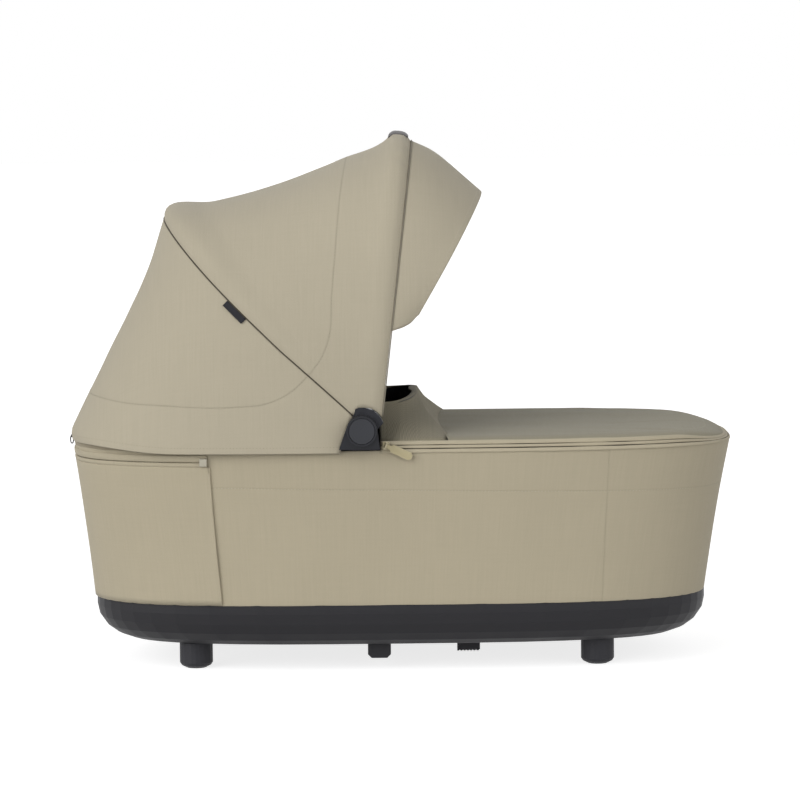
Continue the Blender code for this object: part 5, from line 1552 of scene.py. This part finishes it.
    def front_panel(self) -> None:
        """Cloth between the middle bow and the visor seam, over the carry bow."""
        seam = HOOD.ridge(HOOD.seam_gap / 2, HOOD.ridge_depth, HOOD.clear_rear)
        shoulder = HOOD.ridge(HOOD.seam_gap / 2 + HOOD.ridge_depth, 0.0, HOOD.clear_rear)
        over = []
        for row in HOOD.bow_lines():
            over.append(HOOD.over_bow(row, math.sqrt(HOOD.clear_socket**2 - row[0] ** 2)))
        sagging = HOOD.drawn_in(shoulder, over[0], self.sag_rows, self.roof_sag)
        grid, places = through([seam, shoulder] + sagging + over, self.step)
        fan = np.clip((places - 1) / self.sag_rows, 0, 1)
        patch = Patch(grid, self.inside, share=np.broadcast_to(fan[:, None], grid.shape[:2]).copy())
        high = faded(grid[..., 2] - HINGE.z - self.wave_clear, self.wave_rise)
        held = np.sin(math.pi * np.clip((places - 0.5) / 6.5, 0, 1))[:, None] * high
        broad, fine = (waves.over(grid) * held for waves in self.roof_waves)
        patch = patch.pushed(broad + fine + self.gathers(grid, places))
        # Painted shade: the distance to the faint stitch line darkens the hood cloth along it.
        patch.along = side_distance(patch.grid, self.smooth_line())
        ends = Body.MIDDLE_BOW, Body.CARRY_BOW
        self.sew("front_panel_stitches", patch.crossing(patch.along), *ends)
        self.sew("front_seam_stitches", patch.flipped().inset_path(self.seam_stitch_inset), *ends)
        normal = HOOD.bow(0.0).normal()
        path = patch.grid[-1] + normal * self.piping_ahead + patch.normals()[-1] * self.piping_out
        piping = tube("front_seam_piping", path, self.piping_radius, normal, Finish.PIPING, sides=8)
        settle(piping, Body.CARRY_BOW)
        self.middle_seam_shade(seam)
        patch = patch.hemmed(*self.seam_hem, first=True)
        panel = sewn("hood_front_cloth", patch, self.thickness, Finish.HOOD, Finish.LINING)
        bend(panel, *ends, patch.share, Slot.HOOD, ("hood_front_panel",))
        declare(panel, patch)

    def middle_seam_shade(self, seam: Points) -> None:
        """Dark cord in the seam over the middle bow, which paints the shade in the seam's gap."""
        path = (HOOD.ridge(-HOOD.seam_gap / 2, HOOD.ridge_depth, HOOD.clear_rear) + seam) / 2
        # Painted shade: the dark cord fills the seam's gap with the colour of its shade.
        cord = tube("middle_seam_shade_cord", path, self.seam_shade_radius, HOOD.middle().normal(),
                    Finish.DARK_THREAD_AND_SEAM_SHADE, sides=8)
        settle(cord, Body.MIDDLE_BOW)

    def smooth_line(self) -> Points:
        """The faint line of stitches in side view, as a smooth curve."""
        fine, _ = through([np.array([[x, z]]) for x, z in self.line], self.line_step)
        return fine[:, 0]

    def gathers(self, grid: Points, places: Points) -> Points:
        """Short folds where the cloth is gathered into the front seam beside the grip."""
        away = (places[-1] - places)[:, None] / self.gather_rows
        across = np.abs(grid[..., 1])
        middle, spread = self.gather_place
        folds = np.sin(across / self.fine_gather)
        folds = folds + self.wide_gather_share * np.sin(across / self.wide_gather + 1.0)
        return self.gather_height * folds * away * np.exp(1 - away) * bell(across - middle, spread)

    def sew(self, name: str, path: Path, low: Body, high: Body) -> None:
        """Sew a row of stitches that bends with its cloth."""
        places, facing, shares = path
        made, values = self.thread.sew(name, places, facing, Finish.HOOD_THREAD, shares)
        bend(made, low, high, values, Slot.HOOD)

    def sleeves(self) -> None:
        """Dark sleeves that hold the two bows on the inner side of the cloth."""
        self.middle_sleeve.draw("middle_bow_sleeve", Body.MIDDLE_BOW, HOOD.middle(), HOOD.mid_reach,
                                HOOD.mid_exponent)
        self.bow_sleeve.draw("carry_bow_sleeve", Body.CARRY_BOW, HOOD.bow(HOOD.bow_offset), HOOD.bow_reach,
                             HOOD.bow_exponent)

    def label(self) -> None:
        """Bare woven label beside the middle seam, with its ends folded and sewn."""
        reach = np.linspace(self.label_start, self.label_start + self.label_length, 24)
        half = HOOD.half_width - HOOD.ridge_depth / 4
        half = half * rounded_half(reach / (HOOD.mid_reach - HOOD.ridge_depth), HOOD.mid_exponent)
        rows = []
        for across in np.linspace(0.0, self.label_width, 8):
            plane = HOOD.middle().shifted(-HOOD.seam_gap - across)
            lift = self.label_out + self.label_bulge * math.sin(math.pi * across / self.label_width)
            rows.append(HOOD.led(plane.at(reach, -(half + lift))))
        patch = Patch(np.array(rows), (HINGE.x, 0.0, HINGE.z))
        patch = patch.turned().hemmed(*self.label_end_hem, first=True)
        patch = patch.turned().hemmed(*self.label_side_hem, first=True)
        made = sewn("woven_label", patch, self.label_thickness, Finish.LABEL)
        settle(made, Body.MIDDLE_BOW, ("seam_label",))
        declare(made, patch)

    def grip(self) -> None:
        """Soft grip over the cloth at the top of the carry bow."""
        rear, front = ((HOOD.bow_offset + edge[0], *edge[1:]) for edge in (self.grip_rear, self.grip_front))
        rows = []
        for row in (rear, *HOOD.bow_lines()[1:4], front):
            line = HOOD.over_bow(row, HOOD.bow_reach / 2, columns=900)
            rows.append(respaced(line[np.abs(line[:, 1]) < self.grip_half_span], self.grip_columns))
        fine, _ = through(rows, self.grip_step)
        across = np.linspace(-1.0, 1.0, len(fine))[:, None]
        along = np.linspace(-1.0, 1.0, self.grip_columns)[None, :]
        swell = self.grip_swell * (1 - np.abs(across) ** 4) * (1 - np.abs(along) ** 12)
        patch = Patch(fine, tuple(HINGE)).pushed(self.grip_out + swell)
        path, facing, _ = patch.inset_path(self.grip_stitch_inset)
        line, _ = self.grip_thread.sew("grip_stitches", path, facing, Finish.DARK_THREAD_AND_SEAM_SHADE)
        settle(line, Body.CARRY_BOW)
        patch = patch.hemmed(*self.grip_side_hem, first=True)
        patch = patch.turned().hemmed(*self.grip_end_hem, first=True).turned()
        made = sewn("grip_cover", patch, self.grip_thickness, Finish.HIDE)
        settle(made, Body.CARRY_BOW, ("handle_grip",))


@dataclass
class Visor:
    """Visor cloth between the front seam and its stiff edge."""

    low_z: float = 0.4165
    edge_tilt: Tilt = Tilt(0.0231, 0.430, math.radians(60.6))
    edge_reach: float = 0.1688
    edge_half_width: float = 0.204
    edge_exponent: float = 2.4
    crown: float = 0.0050
    crown_skew: float = 0.7
    thickness: float = 0.0016
    corner_drop: float = 0.0040
    corner_rise: float = 0.0060
    corner_start_share: float = 0.7
    inside_rise: float = 0.129
    seam_inset: float = 0.0006
    stitch_inset: float = 0.006
    step: float = 0.0052
    hem: Pair = (0.0016, 0.012)
    waves: Waves = Waves(0.09, 0.0016, 12.0)
    thread: Thread = Thread(radius=0.00026)

    def build(self) -> None:
        """Make the visor, which bends from the carry bow to its rim."""
        offset, reach_drop, width_drop = HOOD.bow_lines()[-1]
        start = (self.low_z - HINGE.z) / math.sin(HOOD.bow_tilt)
        seam = HOOD.over_bow((offset + 2 * TOUCH, reach_drop, width_drop), start)
        edge = arch(self.edge_tilt, self.edge_reach, self.edge_half_width, self.edge_exponent, 0.0,
                    HOOD.columns)
        rows = [seam] + HOOD.drawn_in(seam, edge, 4, -self.crown, 1.0, self.crown_skew) + [edge]
        grid, places = through(rows, self.step)
        grid = self.rounded(grid, places / places[-1])
        share = np.broadcast_to((places / (len(rows) - 1))[:, None], grid.shape[:2]).copy()
        patch = Patch(grid, (HINGE.x, 0.0, HINGE.z + self.inside_rise), share=share)
        # Painted shade: the distance from the seam darkens the visor's colour in a thin line along the front
        # seam.
        patch.across = patch.from_first_row() - self.seam_inset
        patch = patch.pushed(self.waves.over(grid) * np.sin(math.pi * share))
        path, facing, shares = patch.flipped().inset_path(self.stitch_inset)
        made, values = self.thread.sew("visor_edge_stitches", path, facing, Finish.THREAD, shares)
        bend(made, Body.CARRY_BOW, Body.VISOR, values, Slot.HOOD)
        patch = patch.hemmed(*self.hem)
        visor = sewn("visor_panel", patch, self.thickness, Finish.HOOD, Finish.LINING)
        bend(visor, Body.CARRY_BOW, Body.VISOR, patch.share, Slot.HOOD, ("visor_cloth",))
        declare(visor, patch)

    def rounded(self, grid: Points, level: Points) -> Points:
        """Lengthen or shorten each line of the visor at its two lower ends, so that its corners are round.

        Args:
            grid: Lines from the seam to the free edge.
            level: Share of the way from the seam to the free edge, for each line.

        Returns:
            The lines with their new ends.
        """
        made = []
        for row, share in zip(grid, level):
            past = smooth((share - self.corner_start_share) / (1 - self.corner_start_share))
            extra = self.corner_drop * math.sin(math.pi * share) - self.corner_rise * past**2
            marks = marks_along(row)
            line = sampled(row, marks, np.linspace(-extra, marks[-1] + extra, len(row)))
            for end, inner in ((0, 1), (-1, -2)):
                if extra > 0:
                    line[end] = row[end] + unit(row[end] - row[inner]) * extra
            made.append(line)
        return np.array(made)


@dataclass
class Apron:
    """Foot cover and the wind flap that stands on its head edge."""

    thickness: float = 0.0014
    head_x: float = 0.0640
    head_bow: float = 0.0135
    head_bow_reach: float = 0.08
    top_z: float = 0.2925
    seam_width: float = 0.0220
    lip_share: float = 0.50
    lip_exponent: float = 36.0
    flat_x: float = 0.2023
    tip_half_width: float = 0.040
    crown_exponent: float = 2.6
    end_exponent: float = 6.3
    creases: tuple[Triple, ...] = (
        (0.22, 0.150, 0.0016), (-0.35, 0.060, 0.0012), (0.10, 0.185, 0.0014),
    )
    crease_width: float = 0.006
    crease_turn_x: float = 0.30
    crease_middle_x: float = 0.33
    crease_reach: float = 0.055
    broad_waves: Waves = Waves(0.05, 0.0016, 17.0, (0.45, 1.0, 1.0))
    fine_waves: Waves = Waves(0.03, 0.0005, 2.0)
    border_points: int = 1600
    cover_grid: tuple[int, int] = (96, 84)
    wing_head_x: float = -0.0225
    wing_head_top_x: float = -0.0235
    tuck_x: float = -0.0040
    tuck_length: float = 0.0135
    tuck_in: float = 0.0170
    flap_top_x: float = 0.0248
    flap_top_z: float = 0.3245
    flap_crown: float = 0.0080
    flap_low_half: float = 0.2140
    flap_top_half: float = 0.1300
    low_exponent: float = 16.0
    top_exponent: float = 2.4
    border_share: float = 0.8
    flap_share: float = 0.62
    corner_low: float = 0.712
    corner_high: float = 0.300
    lip: float = 0.0110
    lip_rise: float = 0.0005
    hollow: float = 0.0110
    flap_waves: Waves = Waves(0.040, 0.0010, 41.0, (1.0, 1.0, 0.5))
    flap_hem: Pair = (0.0012, 0.006)
    flap_grid: tuple[int, int] = (13, 86)

    def build(self) -> None:
        """Make the apron and its flap."""
        self.cover()
        self.flap()

    def border_level(self, x: Values) -> Values:
        """Level of the apron's border at a place along X."""
        return ZIPS.lowered(WALLS.high_z + ZIPS.border, x)

    def across(self, x: Values, y: Points) -> Points:
        """Share of the way from the middle to the border."""
        half = WALLS.half_width(x, WALLS.high_z, ZIPS.border_inset)
        return np.minimum(1.0, np.abs(y) / np.maximum(half, MM))

    def height(self, x: Points, across: Points) -> Points:
        """Level of the apron at a place along X and a share of the way to its border."""
        foot = self.border_line(self.border_points)[:, 0].max()
        along = np.clip((x - self.flat_x) / (foot - self.flat_x), 0.0, 1.0)
        low = self.border_level(x)
        dome = mix(1 - across**self.crown_exponent, 1 - across**self.lip_exponent, self.lip_share)
        return low + (self.top_z - low) * (1 - along**self.end_exponent) * dome

    def head_edge(self, y: Points) -> Points:
        """Place along X of the apron's head edge, which bows to the head end in its middle."""
        return self.head_x - self.head_bow * (1 - (y / self.flap_low_half) ** 2)

    def border_line(self, count: int) -> Points:
        """The border in plan: a closed ring that is drawn in at the foot end."""
        ring = WALLS.ring(WALLS.high_z, ZIPS.border_inset, count)
        ring[:, 0] -= ZIPS.drawn(ring[:, 0])
        return ring

    def cover(self) -> None:
        """Domed cloth with a few long creases."""
        count, columns = self.cover_grid
        border = self.border_line(self.border_points)
        border = border[(border[:, 1] < -self.tip_half_width) & (border[:, 0] > self.head_x)]
        border = border[np.argsort(np.arctan2(border[:, 1], border[:, 0]))]
        leg = float(WALLS.half_width(self.head_x, WALLS.high_z, ZIPS.border_inset))
        border = respaced(np.vstack([(self.head_x - 4 * MM, -leg, WALLS.high_z), border]), count)
        across = np.sin(np.linspace(-1.0, 1.0, columns) * math.pi / 2)
        rows = []
        for point in border:
            y = point[1] * across * -1.0
            bowed = 1 - smooth((point[0] - self.head_x) / self.head_bow_reach)
            x = point[0] + (self.head_edge(y) - self.head_x) * bowed
            rows.append(np.column_stack([x, y, self.height(x, np.abs(across))]))
        patch = Patch(np.array(rows), (self.flat_x, 0.0, 0.0))
        inner = 1 - np.abs(across)[None, :] ** 6
        waves = self.broad_waves.over(patch.grid) + self.fine_waves.over(patch.grid)
        patch = patch.pushed((waves + self.creased(patch.grid)) * inner)
        # The distance to the seam line paints the apron lighter along it, by its negative seam value.
        patch.across = self.border_distance(patch.grid) - self.seam_width
        cover = sewn("apron_cloth", patch, self.thickness, Finish.APRON, Finish.LINING)
        settle(cover, Body.COT, ("apron",))
        declare(cover, patch)

    def creased(self, grid: Points) -> Points:
        """Height of the long creases toward the foot end, each of which is on both sides."""
        x, y = grid[..., 0], grid[..., 1]
        height = np.zeros_like(x)
        reach = bell(x - self.crease_middle_x, self.crease_reach)
        for slope, place, depth in self.creases:
            for side in (-1, 1):
                away = side * y - place - slope * (x - self.crease_turn_x)
                height -= depth * bell(away, self.crease_width) * reach
        return height

    def border_distance(self, grid: Points) -> Points:
        """Distance of each place from the apron's border, in plan."""
        border = self.border_line(700)[:, :2]
        border = border[border[:, 0] > self.head_x]
        flat = grid[..., :2].reshape(-1, 2)
        found = [np.linalg.norm(border - place, axis=1).min() for place in flat]
        return np.array(found).reshape(grid.shape[:2])

    def flap_edge(self, shares: Points, low: bool) -> Points:
        """Lower or upper edge of the flap, at shares of the way from its middle to its sides."""
        forward = rounded_half(np.abs(shares), self.low_exponent if low else self.top_exponent)
        if not low:
            x = mix(self.wing_head_top_x, self.flap_top_x, forward)
            z = self.flap_top_z + self.flap_crown * (1 - shares**2)
            return np.column_stack([x, shares * self.flap_top_half, z])
        y = shares * self.flap_low_half
        x = mix(self.wing_head_x, self.head_edge(y) - 2 * TOUCH, forward)
        past = smooth((np.abs(shares) - self.border_share) / (1 - self.border_share))
        on_apron = self.height(np.full_like(y, self.head_x), self.across(self.head_x, y))
        y = y - np.sign(y) * self.tuck_in * smooth((self.tuck_x - x) / self.tuck_length)
        return np.column_stack([x, y, mix(on_apron, self.border_level(x), past)])

    def half_edge(self, low: bool, stops: Points) -> Points:
        """Points at shares of the length of one half of the flap's lower or upper edge."""
        dense = self.flap_edge(1 - (1 - np.linspace(0.0, 1.0, 3001)) ** 3, low)
        marks = marks_along(dense)
        return sampled(dense, marks, stops * marks[-1])

    def flap(self) -> None:
        """One cloth across the cot and back along both sides to the hinges."""
        count, columns = self.flap_grid
        half = np.linspace(0.0, 1.0, columns)
        paired = np.interp(half, (0.0, self.corner_low, 1.0), (0.0, self.corner_high, 1.0))
        low, high = self.half_edge(True, half), self.half_edge(False, paired)
        low, high = (np.vstack([edge[:0:-1] * [1, -1, 1], edge]) for edge in (low, high))
        away = np.abs(np.concatenate([-half[:0:-1], half]))
        heights = np.linspace(0.0, 1.0, count)
        rows = []
        for height in heights:
            rows.append(mix(low, high, height))
            rows[-1][:, 0] -= self.hollow * math.sin(math.pi * height) * (1 - away)
        for turned in (0.35, 0.7, 1.0):
            rows.append(high.copy())
            rows[-1][:, 0] -= self.lip * (1 - away**2) * turned
            rows[-1][:, 2] += self.lip_rise * math.sin(math.pi * 0.5 * turned)
        level = np.concatenate([heights, np.ones(3)])[:, None]
        wing = smooth((away - self.flap_share) / (1 - self.flap_share))[None, :]
        share = mix(smooth(level * 4), level * (1 - wing), np.minimum(1.0, wing * 3))
        patch = Patch(np.array(rows), (self.wing_head_x, 0.0, WALLS.high_z), share=share)
        held = np.sin(math.pi * np.clip(level * 0.8 + 0.1, 0, 1))
        patch = patch.pushed(self.flap_waves.over(patch.grid) * held).hemmed(*self.flap_hem)
        flap = sewn("wind_flap_cloth", patch, self.thickness, Finish.FLAP, Finish.LINING)
        bend(flap, Body.COT, Body.FLAP, patch.share, Slot.FLAP,
             ("wind_flap", "flap_wing_right", "flap_wing_left"))
        declare(flap, patch)


@dataclass
class Mattress:
    """Soft mattress with a crowned top."""

    swell: float = 0.006
    voxel: float = 0.006
    frames: int = 20
    pressure: float = 4.0
    lining_gap: float = 0.002
    room: float = 0.004
    side_gap: float = 0.002
    headroom: float = 0.006
    floor_gap: float = 0.001
    shoulder: float = 0.003
    crown: float = 0.0015
    inset_unit: float = 0.05
    sides: tuple[Pair, ...] = (
        (0.0, 1.0), (0.16, 0.56), (0.45, 0.27), (0.78, 0.24), (0.94, 0.44), (1.0, 0.86),
    )
    top: tuple[float, ...] = (2.0, 2.7, 3.2, 3.5)
    columns: int = 180

    def build(self) -> None:
        """Make the mattress, blown up as cloth."""
        low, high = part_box("mattress")
        inset = LINING_INSET + self.lining_gap + self.room
        height = high.z - low.z - self.headroom
        rows = []
        for level, steps in self.sides:
            z = low.z + self.floor_gap + (height - self.shoulder) * level
            rows.append(WALLS.ring(z, inset + self.side_gap + self.inset_unit * steps, self.columns))
        for steps in self.top:
            rows.append(WALLS.ring(WALLS.low_z, inset + self.inset_unit * steps, self.columns))
            rows[-1][:, 2] = low.z + height + self.crown
        pad = new_object("mattress_pad", skinned(rows), Finish.MATTRESS.look())
        self.remesh(pad)
        self.blow_up(pad)
        self.write_threads(pad)
        pad.modifiers.new("finer", "SUBSURF").levels = 1
        pad.modifiers["finer"].render_levels = 1
        settle(pad, Body.COT, ("mattress",))

    def remesh(self, pad: Object) -> None:
        """Give the pad an even mesh."""
        step = pad.modifiers.new("even", "REMESH")
        step.mode = "VOXEL"
        step.voxel_size = self.voxel
        self.apply(pad)

    def apply(self, pad: Object) -> None:
        """Turn the pad's modifiers into its own mesh."""
        shown = pad.evaluated_get(bpy.context.evaluated_depsgraph_get())
        data = bpy.data.meshes.new_from_object(shown)
        look = pad.data.materials[0]
        pad.modifiers.clear()
        pad.data = data
        if not data.materials:
            data.materials.append(look)
        data.shade_smooth()

    def blow_up(self, pad: Object) -> None:
        """Let pressure fill the pad, and limit how far it may swell."""
        before = np.array([point.co for point in pad.data.vertices])
        cloth = pad.modifiers.new("pressure", "CLOTH")
        cloth.settings.use_pressure = True
        cloth.settings.uniform_pressure_force = self.pressure
        cloth.settings.effector_weights.gravity = 0.0
        cloth.settings.quality = 4
        scene = bpy.context.scene
        for number in range(1, self.frames + 1):
            scene.frame_set(number)
        self.apply(pad)
        scene.frame_set(1)
        after = np.array([point.co for point in pad.data.vertices])
        step = after - before
        length = np.linalg.norm(step, axis=1, keepdims=True).clip(LEAST_LENGTH)
        step *= np.minimum(1.0, self.swell / length)
        after = before + step
        after[:, 2] = np.maximum(after[:, 2], before[:, 2].min())
        pad.data.vertices.foreach_set("co", after.astype(np.float32).ravel())
        pad.data.update()

    def write_threads(self, pad: Object) -> None:
        """Lay the knit straight across the pad, and keep it clear of sewn lines."""
        threads = pad.data.uv_layers.new(name=THREAD_MAP)
        data = pad.data
        places = [data.vertices[loop.vertex_index].co[:2] for loop in data.loops]
        threads.data.foreach_set("uv", np.array(places, dtype=np.float32).ravel())
        for mark in LINE_MARKS:
            write_mark(pad, mark, np.full(len(pad.data.vertices), NO_LINE))


@dataclass
class HardParts:
    """CAD nodes that stay, with their finishes and softened edges. A name that ends in _ is a pair."""

    edge: float = 0.0005
    sharp: float = math.radians(35)
    weld: float = 0.00001
    finishes: dict[Finish, tuple[str, ...]] = field(default_factory=lambda: {
        Finish.TUB: ("tub_base", "vent_slider", "vent_rail_outer", "vent_rail_inner", "visor_rim",
                     "chassis_mount_"),
        Finish.FOOT: ("foot_head_", "foot_toe_"),
        Finish.STEEL: ("rim_tube", "head_hoop", "foot_hoop", "carry_bow", "mid_bow", "hinge_pin_",
                       "visor_stud_"),
        Finish.HINGE: ("hinge_housing_", "bow_socket_"),
        Finish.BUTTON: ("hinge_button_",),
        Finish.KHAKI: ("foot_zip_slider", "foot_zip_pull"),
        Finish.PALE_METAL: ("head_zip_slider",),
        Finish.DARK_METAL: ("hem_staple", "hem_ring"),
    })
    softened: tuple[str, ...] = (
        "foot_head_", "foot_toe_", "chassis_mount_", "hinge_button_", "foot_zip_pull", "head_zip_slider",
    )

    def build(self) -> None:
        """Give each node its finish."""
        for finish, stems in self.finishes.items():
            for stem in stems:
                for side in ("right", "left") if stem.endswith("_") else ("",):
                    self.dress(stem + side, finish, stem in self.softened)

    def dress(self, name: str, finish: Finish, soft: bool) -> None:
        """Give a node its finish, and round its edges if it is soft."""
        node = frame["nodes"][name]
        node.data.materials.clear()
        node.data.materials.append(finish.look())
        if soft:
            self.soften(node)
        log.info("%s has %s", name, finish.name.lower())

    def soften(self, node: Object) -> None:
        """Round the edges of a node."""
        node.modifiers.new("weld", "WELD").merge_threshold = self.weld
        soft = node.modifiers.new("edges", "BEVEL")
        soft.width = self.edge
        soft.segments = 2
        soft.limit_method = "ANGLE"
        soft.angle_limit = self.sharp
        soft.harden_normals = True


@dataclass
class Studio:
    """Camera, lights, floor and backdrop."""

    distance: float = 5.0
    target: Triple = (0.0023, 0.0, 0.3169)
    elevation: float = math.radians(4.6)
    roll: float = math.radians(-0.65)
    half_view: float = 0.1
    ambient: float = 0.36
    lamps: tuple[tuple[Triple, float], ...] = (
        ((-0.70, -0.65, 0.30), 2.2),
        ((0.68, -0.70, 0.20), 1.05),
    )
    lamp_angle: float = 1.0
    floor_size: float = 30.0
    floor_grey: float = 0.62
    floor_roughness: float = 0.95
    floor_glow: float = 0.78

    def build(self) -> None:
        """Set up the stage."""
        self.camera()
        self.light()
        self.floor()

    def camera(self) -> None:
        """Camera at the photograph's viewing angle."""
        data = bpy.data.cameras.new("camera")
        made = bpy.data.objects.new("camera", data)
        bpy.context.scene.collection.objects.link(made)
        target = Vector(self.target)
        back = Vector((0.0, -math.cos(self.elevation), math.sin(self.elevation)))
        turn = (-back).to_track_quat("-Z", "Y").to_matrix().to_4x4() @ Matrix.Rotation(self.roll, 4, "Z")
        made.matrix_world = Matrix.Translation(target + back * self.distance) @ turn
        data.lens = data.sensor_width / (2 * self.half_view)
        bpy.context.scene.camera = made

    def light(self) -> None:
        """Two soft lamps from the front and an even world."""
        for index, (direction, strength) in enumerate(self.lamps):
            data = bpy.data.lights.new(f"lamp_{index}", "SUN")
            data.energy = strength
            data.angle = self.lamp_angle
            made = bpy.data.objects.new(f"lamp_{index}", data)
            made.rotation_euler = Vector(direction).to_track_quat("Z", "Y").to_euler()
            bpy.context.scene.collection.objects.link(made)
        world = bpy.data.worlds.new("backdrop")
        world.use_nodes = True
        bpy.context.scene.world = world
        wiring = Wiring(world.node_tree)
        paths = wiring.add("ShaderNodeLightPath").outputs
        seen = wiring.math("MAXIMUM", paths["Is Camera Ray"], paths["Is Transmission Ray"])
        seen = wiring.math("MAXIMUM", seen, paths["Is Glossy Ray"])
        strength = wiring.math("ADD", wiring.math("MULTIPLY", seen, 1.0 - self.ambient), self.ambient)
        back = world.node_tree.nodes["Background"]
        back.inputs["Color"].default_value = (1.0, 1.0, 1.0, 1.0)
        wiring.feed(strength, back.inputs["Strength"])

    def floor(self) -> None:
        """Pale floor that looks white and keeps a faint shadow."""
        mesh = bmesh.new()
        bmesh.ops.create_grid(mesh, x_segments=1, y_segments=1, size=self.floor_size)
        look, wiring, shader = principled("studio_floor")
        shader.inputs["Base Color"].default_value = (*[self.floor_grey] * 3, 1.0)
        shader.inputs["Roughness"].default_value = self.floor_roughness
        shader.inputs["Specular IOR Level"].default_value = 0.0
        paths = wiring.add("ShaderNodeLightPath").outputs
        seen = wiring.math("MAXIMUM", paths["Is Camera Ray"], paths["Is Glossy Ray"])
        glow = wiring.add("ShaderNodeEmission")
        wiring.feed(wiring.product(seen, self.floor_glow), glow.inputs["Strength"])
        total = wiring.add("ShaderNodeAddShader")
        wiring.feed(shader.outputs[0], total.inputs[0])
        wiring.feed(glow.outputs[0], total.inputs[1])
        wiring.feed(total.outputs[0], look.node_tree.nodes["Material Output"].inputs["Surface"])
        new_object("studio_floor", mesh, look)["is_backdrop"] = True


def main() -> None:
    """Build the dressed carrycot and its studio."""
    logging.basicConfig(level=logging.INFO, format="%(message)s")
    bpy.context.scene.view_settings.view_transform = "Standard"
    for assembly in (Studio(), HardParts(), WallCloth(), ZIPS, Hood(), Visor(), Apron(), Mattress()):
        assembly.build()
        log.info("%s is dressed", type(assembly).__name__)


if __name__ == "__main__":
    main()
